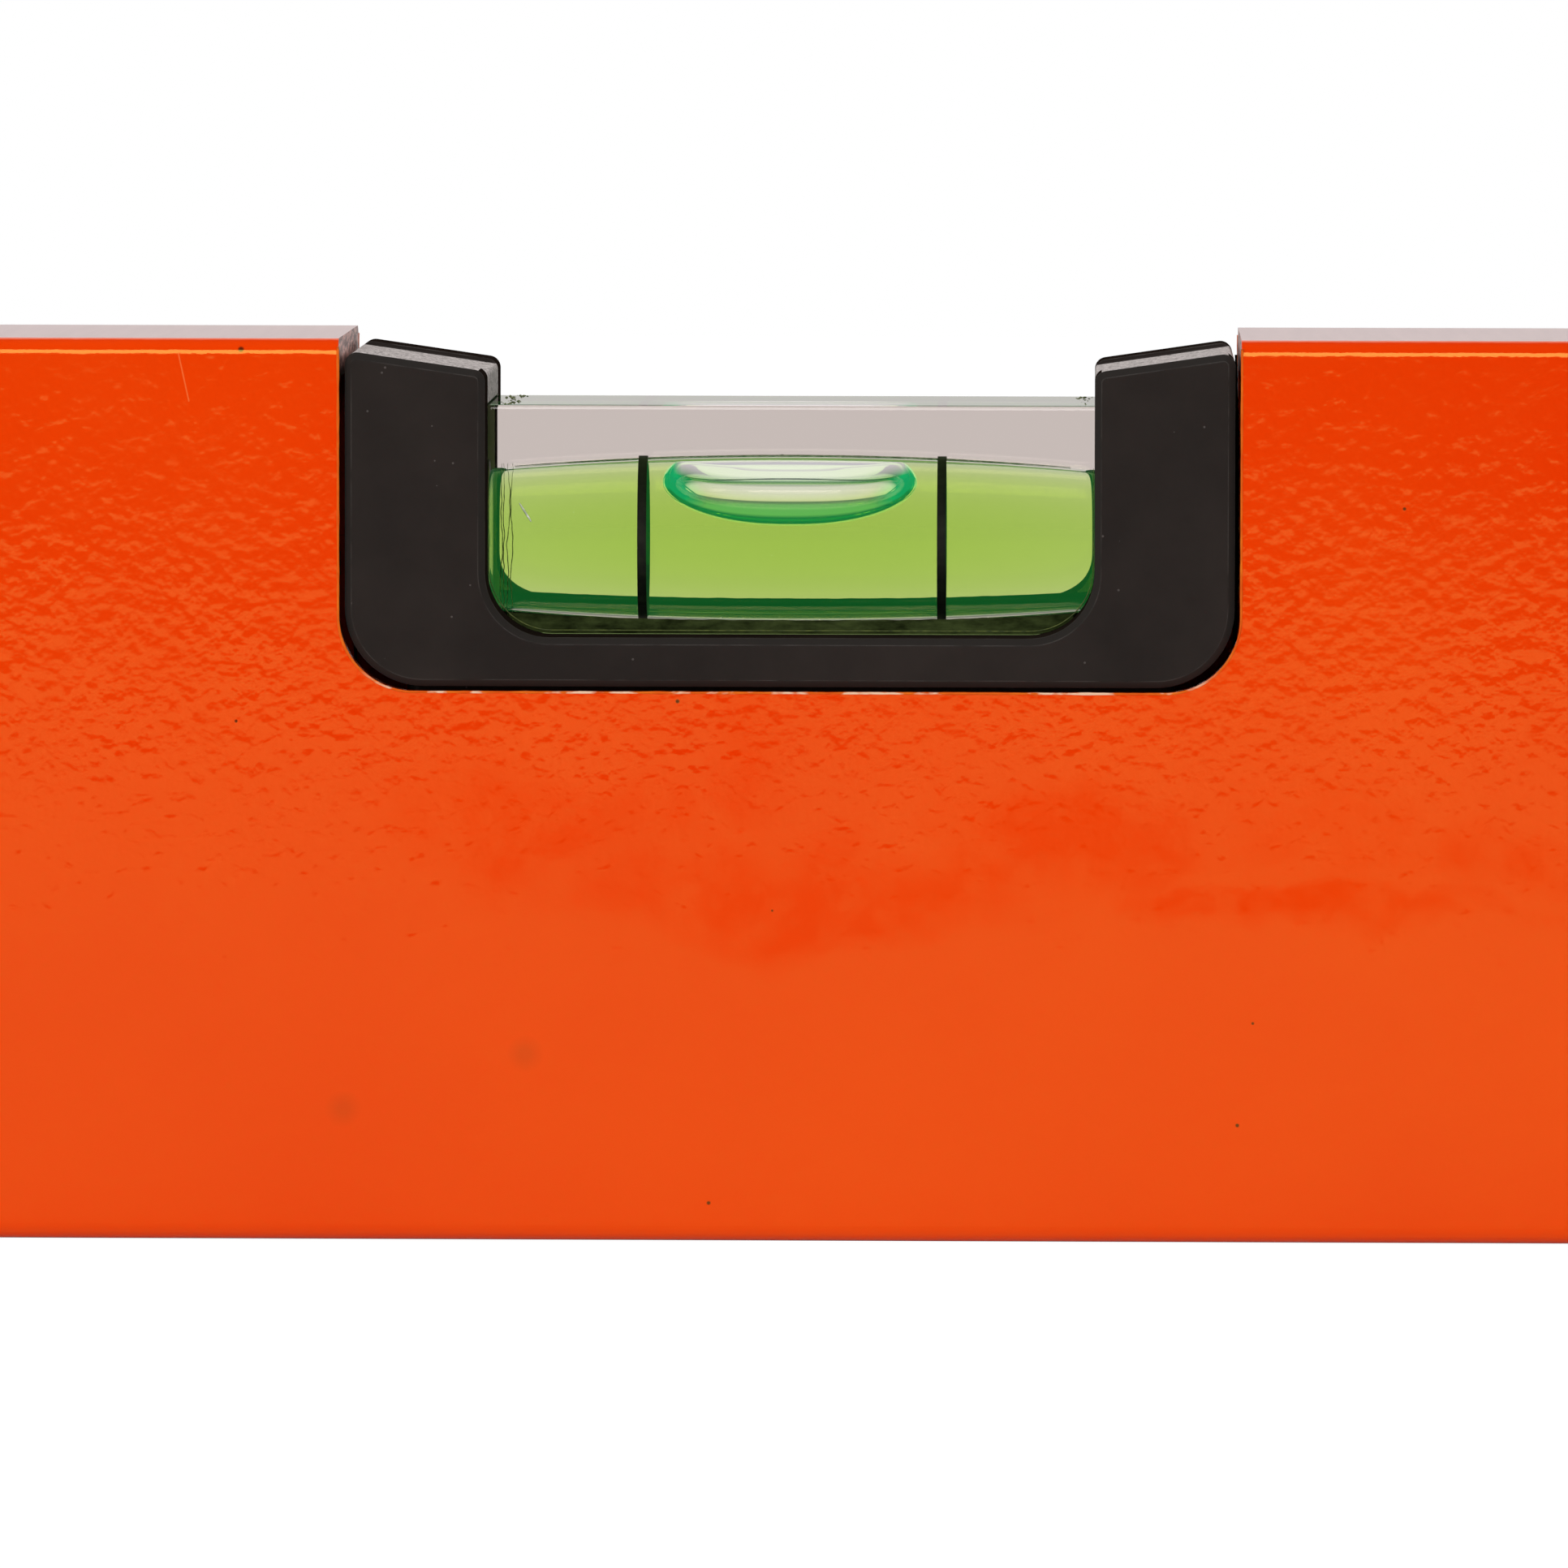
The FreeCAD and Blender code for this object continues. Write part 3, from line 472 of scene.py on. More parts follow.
def notchRoute():
    # (x, z, inward normal) from the top left, round the floor, to the top right
    half, floor = notchPath()
    turn = notchEdge["cornerRound"]
    upright, level = beamHigh.z - floor - turn, 2 * half - 2 * turn
    steps = int(upright / notchEdge["step"])
    route = [(-half, beamHigh.z - upright * i / steps, 1, 0) for i in range(steps + 1)]
    bends = 24
    for i in range(1, bends):
        angle = math.pi + math.pi / 2 * i / bends
        across, up = math.cos(angle), math.sin(angle)
        route.append((-half + turn + turn * across, floor + turn + turn * up, -across, -up))
    leftSide = list(route)
    steps = int(level / notchEdge["step"])
    route += [(-half + turn + level * i / steps, floor, 0, 1) for i in range(steps + 1)]
    return route + [(-x, z, -nx, nz) for x, z, nx, nz in reversed(leftSide)]


def makeNotchBeads(material):
    route = notchRoute()
    inset = notchEdge["inset"]
    for side, face in (("front", beamLow.y), ("back", beamHigh.y)):
        inward = 1 if face < 0 else -1
        bm = bmesh.new()
        rings = []
        for i, (x, z, nx, nz) in enumerate(route):
            wobble = noise.noise(Vector((i * 0.35, face * 900, 0))) * 0.6
            wobble += noise.noise(Vector((i * 0.09, 5, face * 900))) * 0.5
            radius = notchEdge["radius"] * (1 + 0.45 * wobble)
            middle = Vector((x - nx * inset, face + inward * inset, z - nz * inset))
            ring = []
            for a in circleAngles(notchEdge["around"]):
                out, along = math.cos(a) * radius, math.sin(a) * radius
                ring.append(bm.verts.new(middle + Vector((nx * out, along, nz * out))))
            rings.append(ring)
        closeTube(bm, rings)
        for vertex in bm.verts:  # nothing stands above the milled face
            vertex.co.z = min(vertex.co.z, beamHigh.z - notchEdge["topRound"])
        newPiece(f"notch_bead_{side}", bm, material)


edgePaint = makeEdgePaint()
makeNotchBeads(edgePaint)
print("beam painted")


# black plastic of the holder, the bezels and the end caps

plastic = {
    "holder": (0.0122, 0.0080, 0.0062),
    "cap": (0.018, 0.018, 0.019),
    "specular": 0.12,
    "bevel": 0.12 * mm,
    "lint": (0.16, 0.14, 0.13, 1),
    "rubbedAndLit": (0.075, 0.066, 0.060, 1),
    "chamfer": (0.022, 0.0185, 0.0165, 1),
}
# the holder's middle between its two plates: dust with a painted sheen on top, painted shade in the
# vial's pocket with painted green light on its end walls, and painted light on the plates' inner
# faces
holderMiddle = {
    "halfDepth": 7.84 * mm,
    "pocketTop": 55.5 * mm,
    "dustAndSheen": (0.66, 0.60, 0.58, 1),
    "dustAndSheenDark": (0.24, 0.215, 0.205, 1),
    "pocket": (0.008, 0.012, 0.004, 1),
    "pocketEnd": (0.040, 0.052, 0.034, 1),
    "jawPaintedLight": (0.50, 0.53, 0.44, 1),
    "plateInside": 8.2 * mm,
}


def makeBlackPlastic(name, tone, roughness, scuffs, withMiddle=False):
    material, tree, shader = startMaterial(name)
    place = objectPlace(tree)
    patches = spread(tree, grain(tree, place, 120, 4), 0.35, 0.7)
    lighter = tuple(value * 1.5 + 0.002 for value in tone)
    colour = mixColours(tree, patches, (*tone, 1), (*lighter, 1))
    lint = product(tree, dots(tree, place, 900, 0.07), scuffs)
    colour = mixColours(tree, lint, colour, plastic["lint"])
    fine = grain(tree, place, 1800, 3, 0.6)
    gloss = spread(tree, fine, 0.3, 0.7, roughness - 0.06, roughness + 0.08)
    # painted highlight: the chamfers are painted a little paler than the faces round them
    normal = addNode(tree, "ShaderNodeNewGeometry").outputs["Normal"]
    turned = axesOf(tree, normal)
    facing = sizeOf(tree, turned["Y"])
    chamfered = product(tree, spread(tree, facing, 0.98, 0.85), spread(tree, facing, 0.4, 0.65))
    colour = mixColours(tree, chamfered, colour, plastic["chamfer"])
    # edges are painted a little lighter, where the eased normal leaves the face's own: rubbed wear,
    # and a painted highlight along them
    eased = addNode(tree, "ShaderNodeBevel", {"Radius": plastic["bevel"]}, samples=6).outputs[0]
    same = vectorOf(tree, "DOT_PRODUCT", eased, normal, "Value")
    patchy = spread(tree, grain(tree, place, 500), 0.35, 0.6)
    rubbedAndLit = product(tree, spread(tree, same, 0.995, 0.90), patchy)
    colour = mixColours(tree, rubbedAndLit, colour, plastic["rubbedAndLit"])
    # the moulded faces shine a little; what lies between them is matt
    shine = spread(tree, facing, 0.4, 0.65, 0.0, plastic["specular"])
    relief = fine
    if withMiddle:
        axes = axesOf(tree, place)
        depth = sizeOf(tree, axes["Y"])
        deep = mathOf(tree, "LESS_THAN", depth, holderMiddle["halfDepth"])
        above = mathOf(tree, "GREATER_THAN", axes["Z"], holderMiddle["pocketTop"])
        middle = product(tree, deep, above)
        pocket = mathOf(tree, "SUBTRACT", deep, middle)
        front = mathOf(tree, "LESS_THAN", axes["Y"], holderMiddle["halfDepth"])
        # dust with a painted sheen: the web and the faces that look up are made pale grey
        level = product(tree, mathOf(tree, "GREATER_THAN", turned["Z"], 0.9), above, front)
        dustyAndLit = mathOf(tree, "MAXIMUM", middle, level)
        coarse = grain(tree, place, 3200, 4, 0.7)
        speckle = spread(tree, coarse, 0.40, 0.54)
        dustAndSheen = mixColours(tree, speckle, holderMiddle["dustAndSheenDark"], holderMiddle["dustAndSheen"])
        # painted shade in the vial's pocket, with painted green light on its end walls
        endWall = spread(tree, sizeOf(tree, turned["X"]), 0.6, 0.9)
        inside = mixColours(tree, endWall, holderMiddle["pocket"], holderMiddle["pocketEnd"])
        colour = mixColours(tree, dustyAndLit, mixColours(tree, pocket, colour, inside), dustAndSheen)
        # painted light: the plates' inner faces are painted pale, for the light they catch through
        # the block
        near = mathOf(tree, "LESS_THAN", depth, holderMiddle["plateInside"])
        below = mathOf(tree, "SUBTRACT", 1.0, above)
        jawPaintedLight = product(tree, near, below, spread(tree, facing, 0.9, 0.98))
        colour = mixColours(tree, jawPaintedLight, colour, holderMiddle["jawPaintedLight"])
        shine = mixValues(tree, pocket, shine, 0.0)
        gloss = mixValues(tree, dustyAndLit, gloss, 0.8)
        relief = mixValues(tree, dustyAndLit, fine, product(tree, coarse, 5.0))
    setInput(tree, shader.inputs["Base Color"], colour)
    setInput(tree, shader.inputs["Roughness"], gloss)
    setInput(tree, shader.inputs["Specular IOR Level"], shine)
    setInput(tree, shader.inputs["Normal"], bumpOf(tree, relief, 0.006 * mm, eased))
    return material


holderPlastic = makeBlackPlastic("holderPlastic", plastic["holder"], 0.42, 0.35, withMiddle=True)
bezelPlastic = makeBlackPlastic("bezelPlastic", plastic["holder"], 0.42, 0.3)
capPlastic = makeBlackPlastic("capPlastic", plastic["cap"], 0.5, 0.3)
dress("level_holder", holderPlastic)
for side in ("left", "right"):
    dress(f"end_cap_{side}", capPlastic)
    for face in ("front", "back"):
        dress(f"plumb_{side}_bezel_{face}", bezelPlastic)
print("black plastic ready")


# the vials: clear acrylic, coloured fluid and a bubble that carries its own hollow

acrylicIor = 1.49
fluidIor = 1.425
acrylic = {
    "tint": (0.78, 0.73, 0.71, 1),
    "topTint": (0.68, 0.655, 0.63, 1),
    "baseGreenLight": (0.35, 0.56, 0.20, 1),
    "bevel": 0.3 * mm,
    "seatGap": 0.05 * mm,  # a film of air under the block
}
fluidLook = {
    "absorb": (0.73, 0.915, 0.0, 1),
    "density": 180,
    "glow": (0.05, 1.0, 0.25, 1),
    "glowStrength": 0.06,
    "skin": 0.03 * mm,  # the fluid ends this far inside the bore, clear of the rings
    "endRound": 0.35 * mm,
    "around": 128,
}


def glassOf(tree, ior, colour=(1, 1, 1, 1)):
    inputs = {"Color": colour, "IOR": ior, "Roughness": 0.0}
    return addNode(tree, "ShaderNodeBsdfGlass", inputs)


def makeAcrylic():
    material, tree, shader = startMaterial("clearAcrylic")
    tree.nodes.remove(shader)
    place = objectPlace(tree)
    normal = addNode(tree, "ShaderNodeNewGeometry").outputs["Normal"]
    axes = axesOf(tree, normal)
    # the top is a little hazy, and the underside is tinted green: painted light standing in for the
    # fluid's green
    upward, downward = spread(tree, axes["Z"], 0.8, 0.9), spread(tree, axes["Z"], -0.8, -0.9)
    colour = mixColours(tree, upward, acrylic["tint"], acrylic["topTint"])
    colour = mixColours(tree, downward, colour, acrylic["baseGreenLight"])
    scratches = grain(tree, place, 500, 5, 0.7, (1.0, 1.0, 0.15))
    onFace = spread(tree, sizeOf(tree, axes["Y"]), 0.9, 0.98)
    relief = product(tree, spread(tree, scratches, 0.62, 0.75), onFace)
    glass = glassOf(tree, acrylicIor, colour)
    setInput(tree, glass.inputs["Normal"], bumpOf(tree, relief, 0.0015 * mm))
    tree.links.new(glass.outputs[0], tree.nodes["Material Output"].inputs["Surface"])
    return material


def makeFluid(name):
    # the index is the fluid's against the acrylic round it
    material, tree, shader = startMaterial(name)
    tree.nodes.remove(shader)
    out = tree.nodes["Material Output"]
    glass = glassOf(tree, fluidIor / acrylicIor)
    # painted glow: the fluid's surface gives off a faint green light of its own
    shine = {"Color": fluidLook["glow"], "Strength": fluidLook["glowStrength"]}
    glow = addNode(tree, "ShaderNodeEmission", shine)
    both = addNode(tree, "ShaderNodeAddShader", {0: glass.outputs[0], 1: glow.outputs[0]})
    tree.links.new(both.outputs[0], out.inputs["Surface"])
    dye = {"Color": fluidLook["absorb"], "Density": fluidLook["density"]}
    soak = addNode(tree, "ShaderNodeVolumeAbsorption", dye)
    tree.links.new(soak.outputs[0], out.inputs["Volume"])
    return material


# painted light: the colours of the glow painted on the bubble's skin
skinPaintedGlow = {
    "under": (0.16, 0.41, 0.13, 1),    # painted green glow on the bubble's lower side
    "rim": (0.0, 0.06, 0.05, 1),       # painted dark outline at its lower edge
    "ends": (0.0, 0.27, 0.17, 1),
    "crown": (0.72, 0.46, 0.75, 1),    # painted reflection of the film above it
    "crownEnd": (8.0 * mm, 7.4 * mm),  # it fades out between these, from the middle
    "waist": (0.17, 0.05, 0.13, 1),
}


def makeBubbleSkin():
    # the hollow's wall acts as acrylic, so the bubble is air against acrylic
    material, tree, shader = startMaterial("bubbleSkin")
    tree.nodes.remove(shader)
    glass = glassOf(tree, 1 / acrylicIor)
    # painted glow on the skin, as seen from the fluid: green below and at both ends, pink at the
    # waist, dark at the lower outline, pale at the crown
    geometry = addNode(tree, "ShaderNodeNewGeometry")
    axes = axesOf(tree, geometry.outputs["Normal"])
    down = product(tree, axes["Z"], -1.0)
    sideways = sizeOf(tree, axes["Y"])
    waist = spread(tree, sideways, 0.80, 0.95)
    colour = mixColours(tree, waist, (0, 0, 0, 1), skinPaintedGlow["waist"])
    colour = mixColours(tree, spread(tree, down, 0.40, 0.66), colour, skinPaintedGlow["under"])
    ends = spread(tree, sizeOf(tree, axes["X"]), 0.33, 0.55)
    colour = mixColours(tree, ends, colour, skinPaintedGlow["ends"])
    rim = product(tree, spread(tree, sideways, 0.58, 0.48), spread(tree, down, 0.2, 0.4))
    colour = mixColours(tree, rim, colour, skinPaintedGlow["rim"])
    along = sizeOf(tree, axesOf(tree, objectPlace(tree))["X"])
    crown = product(tree, spread(tree, down, -0.5, -0.7), spread(tree, sideways, 0.10, 0.25),
                    spread(tree, along, *skinPaintedGlow["crownEnd"]))
    colour = mixColours(tree, crown, colour, skinPaintedGlow["crown"])
    outside = mathOf(tree, "SUBTRACT", 1.0, geometry.outputs["Backfacing"])
    glow = addNode(tree, "ShaderNodeEmission", {"Color": colour, "Strength": outside})
    both = addNode(tree, "ShaderNodeAddShader", {0: glass.outputs[0], 1: glow.outputs[0]})
    tree.links.new(both.outputs[0], tree.nodes["Material Output"].inputs["Surface"])
    return material


def makeRingBlack():
    material, tree, shader = startMaterial("ringBlack")
    place = objectPlace(tree)
    shade = spread(tree, grain(tree, place, 1500), 0.3, 0.7)
    colour = mixColours(tree, shade, (0.006, 0.008, 0.006, 1), (0.02, 0.03, 0.015, 1))
    setInput(tree, shader.inputs["Base Color"], colour)
    shader.inputs["Roughness"].default_value = 0.6
    return material


clearAcrylic = makeAcrylic()
fluidGreen = makeFluid("vialFluid")
bubbleSkin = makeBubbleSkin()
ringBlack = makeRingBlack()


def makeBlock(name, nodeName):
    # a moulded block with fine bevels; the fluid lies in it, so its inside is left whole
    low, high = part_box(nodeName)
    low.z += acrylic["seatGap"]
    bm = bmesh.new()
    bmesh.ops.create_cube(bm, size=1)
    for vertex in bm.verts:
        vertex.co = Vector([low[i] if vertex.co[i] < 0 else high[i] for i in range(3)])
    bmesh.ops.bevel(bm, geom=list(bm.edges) + list(bm.verts), offset=acrylic["bevel"],
                    segments=3, profile=0.5, affect="EDGES")
    piece = newPiece(name, bm, clearAcrylic, smooth=False)
    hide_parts(nodeName)
    return piece


def barrelRadius(vial, x):
    return vial["radius"] - vial["curve"] + math.sqrt(vial["curve"] ** 2 - x * x)


def makeFluidPiece(name, nodeName, vial, start, end, place):
    # a lathe along the bore; place turns (along, across, up) into the part's frame
    bm = bmesh.new()
    along, bends, turn = 60, 10, fluidLook["endRound"]
    corner = []  # the rounded ends, from the flat to the wall: along and inwards
    for i in range(bends):
        a = math.pi / 2 * i / bends
        corner.append((turn * (1 - math.cos(a)), turn * (1 - math.sin(a))))
    stations = [(start + x, inset) for x, inset in corner]
    for i in range(along + 1):
        stations.append((start + turn + (end - start - 2 * turn) * i / along, 0.0))
    stations += [(end - x, inset) for x, inset in reversed(corner)]
    rings = []
    for x, inset in stations:
        radius = barrelRadius(vial, x) - fluidLook["skin"] - inset
        rings.append([bm.verts.new(place(x, radius * math.cos(a), radius * math.sin(a)))
                      for a in circleAngles(fluidLook["around"])])
    closeTube(bm, rings)
    piece = newPiece(name, bm, fluidGreen)
    for face in piece.data.polygons:
        if len(face.vertices) > 4:
            face.use_smooth = False
    piece.data.set_sharp_from_angle(angle=math.radians(40))
    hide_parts(nodeName)
    return piece


def hollowFor(fluid, cutter):
    cutter.hide_render = True
    cutter.display_type = "WIRE"
    hollow = fluid.modifiers.new("bubbleHollow", "BOOLEAN")
    hollow.operation = "DIFFERENCE"
    hollow.solver = "EXACT"
    hollow.object = cutter


# the level vial

levelVial = {"radius": 5.65 * mm, "curve": 230 * mm}
bubbleShape = {
    "middle": -0.2 * mm,
    "length": 8.5 * mm, "width": 3.95 * mm,      # half of the outline, seen from above
    "flatLength": 0.4 * mm, "flatWidth": 0.2 * mm,  # half of the flat underside
    "squareness": 2.3,
    "underside": 1.0 * mm,  # above the bore's axis
    # from the underside round to the wall
    "wrapEnd": math.radians(117), "wrapSide": math.radians(145),
    "film": 0.08 * mm,
    "around": 96, "bends": 32,
}
# painted shade: a dark line along the bubble's edge
bubbleEdgeShade = {
    "reach": 7.2 * mm,
    "middle": 0.80, "end": 0.90,  # shares of the wrap
    "radius": 0.03 * mm,
}
fluidLow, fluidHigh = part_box("level_fluid")
blockLow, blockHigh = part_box("level_vial_block")
levelAxis = (fluidLow.z + fluidHigh.z) / 2


def between(inner, outer, share):
    return [i + (o - i) * share for i, o in zip(inner, outer)]


def levelBubbleMesh(grow):
    shape = bubbleShape
    bm = bmesh.new()
    rings = []

    def wallHeight(x, y):
        radius = barrelRadius(levelVial, x) - shape["film"] + grow
        return math.sqrt(max(radius * radius - y * y, 0.0))

    def ringOf(points):
        rings.append([bm.verts.new((shape["middle"] + x, y, levelAxis + z)) for x, y, z in points])

    def powered(value):
        return math.copysign(abs(value) ** (2 / shape["squareness"]), value)

    angles = circleAngles(shape["around"])
    wider = shape["wrapSide"] - shape["wrapEnd"]
    wraps = [shape["wrapEnd"] + wider * math.sin(a) ** 2 for a in angles]
    flat = [(shape["flatLength"] * math.cos(a), shape["flatWidth"] * math.sin(a)) for a in angles]
    length, width = shape["length"] + grow, shape["width"] + grow
    reach = [(length * powered(math.cos(a)), width * powered(math.sin(a))) for a in angles]
    base = shape["underside"] - grow
    for share in (0.25, 0.5, 0.75, 0.95):
        ringOf([(x * share, y * share, base) for x, y in flat])

    contact = [between(inner, outer, math.sin(wrap))
               for inner, outer, wrap in zip(flat, reach, wraps)]
    for i in range(shape["bends"] + 1):
        row = []
        for inner, outer, wrap, (endX, endY) in zip(flat, reach, wraps, contact):
            bend = wrap * i / shape["bends"]
            x, y = between(inner, outer, math.sin(bend))
            rise = (wallHeight(endX, endY) - base) / (1 - math.cos(wrap))
            row.append((x, y, base + rise * (1 - math.cos(bend))))
        ringOf(row)
    for share in (0.96, 0.88, 0.78, 0.66, 0.54, 0.42, 0.3, 0.18, 0.08):
        ringOf([(x * share, y * share, wallHeight(x * share, y * share)) for x, y in contact])
    joinRings(bm, rings)
    for ring, height in ((rings[0], base), (rings[-1], wallHeight(0, 0))):
        middle = bm.verts.new((shape["middle"], 0, levelAxis + height))
        for k in range(len(ring)):
            bm.faces.new((ring[k], ring[(k + 1) % len(ring)], middle))
    bmesh.ops.recalc_face_normals(bm, faces=bm.faces)
    return bm


makeBlock("vial_block_level", "level_vial_block")
levelFluid = makeFluidPiece("fluid_level", "level_fluid", levelVial,
                            fluidLow.x + 0.02 * mm, fluidHigh.x - 0.02 * mm,
                            lambda x, y, z: Vector((x, y, levelAxis + z)))
levelBubble = newPiece("bubble_level", levelBubbleMesh(0.0), bubbleSkin, "level_bubble")
levelBubble.data.set_sharp_from_angle(angle=math.radians(35))
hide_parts("level_bubble")
levelCutter = newPiece("bubble_room_level", levelBubbleMesh(0.02 * mm), fluidGreen, "level_bubble")
hollowFor(levelFluid, levelCutter)
for nodeName in ("level_ring_left", "level_ring_right", "level_vial_plug"):
    dress(nodeName, ringBlack)
print("level vial ready")


# what use has left on and round the level vial, with painted shade at the bubble's edge and in the
# notch's gaps

windowEdge = {
    "half": 20.2 * mm, "sill": 40.36 * mm, "corner": 4.3 * mm,
    "inset": 0.07 * mm, "radius": 0.04 * mm, "top": 51.3 * mm,
}
glueSeam = {  # x of each wavy line where the block was glued, left of the fluid
    "lines": [-19.32, -19.15, -18.86, -18.62],
    "low": 40.9 * mm, "high": 51.5 * mm, "depth": 1.2 * mm,
    "radius": 0.03 * mm, "wave": 0.16 * mm,
}
boreLine = {"reach": 18.6 * mm, "radius": 0.06 * mm}
backGlue = {  # a strip of glue between the block and the rear sill, higher at both ends
    "half": 20.0 * mm, "low": 39.5 * mm, "middle": 41.25 * mm, "end": 41.75 * mm,
    "thick": 0.04 * mm, "inWindow": False,
}
frontGlue = {  # a film of glue on the block's front, under the vial
    "half": 18.8 * mm, "low": 40.22 * mm, "middle": 41.14 * mm, "end": 41.62 * mm,
    "thick": 0.02 * mm, "inWindow": True,
}
notchGapShade = {
    "x": 29.7 * mm, "y": 5.0 * mm, "low": 37.5 * mm, "high": 58.4 * mm, "radius": 0.22 * mm,
}
paleScratch = {"from": (-18.1, 48.9), "to": (-17.3, 47.65), "radius": 0.075 * mm}
flecks = {
    "crackle": {"middle": (-15.1, 40.95), "spread": (1.3, 0.3), "count": 16, "size": 0.05},
    "lintLow": {"middle": (0.0, 41.0), "spread": (16.5, 0.45), "count": 26, "size": 0.028},
    "lintFace": {"middle": (0.0, 47.0), "spread": (18.5, 5.5), "count": 30, "size": 0.02},
    "glueTopLeft": {"middle": (-18.9, 55.42), "spread": (0.9, 0.0), "count": 60, "size": 0.09},
    "glueTopRight": {"middle": (19.3, 55.42), "spread": (0.6, 0.0), "count": 26, "size": 0.08},
}
bubbleSpeck = {"place": Vector((-0.7, -0.25, 51.90)) * mm, "size": 0.13 * mm}


def flatMaterial(name, first, second, roughness=0.5):
    material, tree, shader = startMaterial(name)
    shade = spread(tree, grain(tree, objectPlace(tree), 2600), 0.35, 0.65)
    setInput(tree, shader.inputs["Base Color"], mixColours(tree, shade, first, second))
    shader.inputs["Roughness"].default_value = roughness
    return material


def makeGlueAndShadeStreaks(name, first, second, perMetre):
    # matt, in cloudy streaks along the beam
    material, tree, shader = startMaterial(name)
    clouds = grain(tree, objectPlace(tree), perMetre, 5, 0.65, (0.35, 1.0, 1.0))
    colour = mixColours(tree, spread(tree, clouds, 0.38, 0.64), first, second)
    setInput(tree, shader.inputs["Base Color"], colour)
    shader.inputs["Roughness"].default_value = 0.9
    shader.inputs["Specular IOR Level"].default_value = 0.0
    return material


def sweep(bm, points, radius, sides=8):
    # a thread of material along the points, drawn out to nothing at both ends
    rings = []
    for i, point in enumerate(points):
        ahead = points[min(i + 1, len(points) - 1)] - points[max(i - 1, 0)]
        first = ahead.cross(Vector((0, 1, 0))).normalized()
        second = ahead.cross(first).normalized()
        fromEnd = min(i, len(points) - 1 - i)
        thin = radius * (0.35 + 0.65 * min(1.0, 4 * fromEnd / len(points)))
        thin *= 1 + 0.3 * noise.noise(point * 2500)
        rings.append([bm.verts.new(point + thin * (first * math.cos(a) + second * math.sin(a)))
                      for a in circleAngles(sides)])
    closeTube(bm, rings)


def addFleck(bm, centre, size, rng):
    # a crumb: a small ball pushed out of shape
    made = bmesh.ops.create_icosphere(bm, subdivisions=1, radius=size)["verts"]
    stretch = Vector((rng.uniform(0.6, 1.6), 0.4, rng.uniform(0.5, 1.1)))
    for vertex in made:
        push = 1 + rng.uniform(-0.25, 0.25)
        vertex.co = centre + Vector([a * b * push for a, b in zip(vertex.co, stretch)])


def windowPath(edge):
    inset = edge["inset"]
    half, low, turn = edge["half"] - inset, edge["sill"] + inset, edge["corner"] - inset
    right = [(half, low + turn + (edge["top"] - low - turn) * i / 20) for i in range(20, 0, -1)]
    right += [(half - turn + turn * math.cos(a), low + turn - turn * math.sin(a))
              for a in [math.pi / 2 * i / 20 for i in range(21)]]
    right += [((half - turn) * (1 - i / 30), low) for i in range(1, 30)]
    return [(-x, z) for x, z in right] + [(0.0, low)] + list(reversed(right))


def glueStrip(strip, y):
    # a flat strip along the block, its wavy top edge higher at both ends
    bm = bmesh.new()
    columns = []
    for i in range(121):
        x = strip["half"] * (i / 60 - 1)
        high = strip["middle"] + (strip["end"] - strip["middle"]) * abs(x / strip["half"]) ** 2.6
        high += 0.05 * mm * noise.noise(Vector((x * 900, 0, 2)))
        low = strip["low"]
        if strip["inWindow"]:  # follow the window's round lower corners
            turn = windowEdge["corner"]
            inward = max(0.0, abs(x) - (windowEdge["half"] - turn))
            low += turn - math.sqrt(max(turn ** 2 - inward ** 2, 0.0))
            low = min(low, high - 0.01 * mm)
        corners = ((0, low), (strip["thick"], low), (strip["thick"], high), (0, high))
        columns.append([bm.verts.new((x, y + off, z)) for off, z in corners])
    closeTube(bm, columns)
    return bm


def makeWindowGlue():
    bm = bmesh.new()
    path = [Vector((x, blockLow.y - 0.02 * mm, z)) for x, z in windowPath(windowEdge)]
    sweep(bm, path, windowEdge["radius"])
    olive = flatMaterial("oliveGlue", (0.04, 0.06, 0.008, 1), (0.12, 0.15, 0.02, 1))
    newPiece("glue_line_window", bm, olive)

    dark = makeGlueAndShadeStreaks("darkGlue", (0.002, 0.008, 0.002, 1), (0.003, 0.012, 0.004, 1), 900)
    strip = glueStrip(backGlue, blockHigh.y + 0.02 * mm)
    newPiece("glue_strip_back", strip, dark, smooth=False)
    film = makeGlueAndShadeStreaks("filmGlue", (0.010, 0.014, 0.004, 1), (0.048, 0.066, 0.020, 1), 900)
    strip = glueStrip(frontGlue, blockLow.y - frontGlue["thick"])
    newPiece("glue_film_front", strip, film, smooth=False)


def makeGlueSeams():
    bm = bmesh.new()
    rise = glueSeam["high"] - glueSeam["low"]
    for number, x in enumerate(glueSeam["lines"]):
        points = []
        for i in range(81):
            z = glueSeam["low"] + rise * i / 80
            sway = noise.noise(Vector((number * 7.3, z * 380, 0)))
            sway += 0.5 * noise.noise(Vector((number * 3.1, z * 1400, 4)))
            across = x * mm + sway * glueSeam["wave"]
            points.append(Vector((across, blockLow.y + glueSeam["depth"], z)))
        sweep(bm, points, glueSeam["radius"], 6)
    green = flatMaterial("seamGreen", (0.03, 0.14, 0.015, 1), (0.42, 0.60, 0.12, 1))
    newPiece("glue_seam_left", bm, green)


def makeBoreLine():
    bm = bmesh.new()
    points = []
    for i in range(81):
        x = boreLine["reach"] * (i / 40 - 1)
        points.append(Vector((x, -0.3 * mm, levelAxis + barrelRadius(levelVial, x))))
    sweep(bm, points, boreLine["radius"], 6)
    grey = flatMaterial("boreGrey", (0.45, 0.45, 0.36, 1), (0.80, 0.80, 0.70, 1))
    newPiece("bore_line", bm, grey)


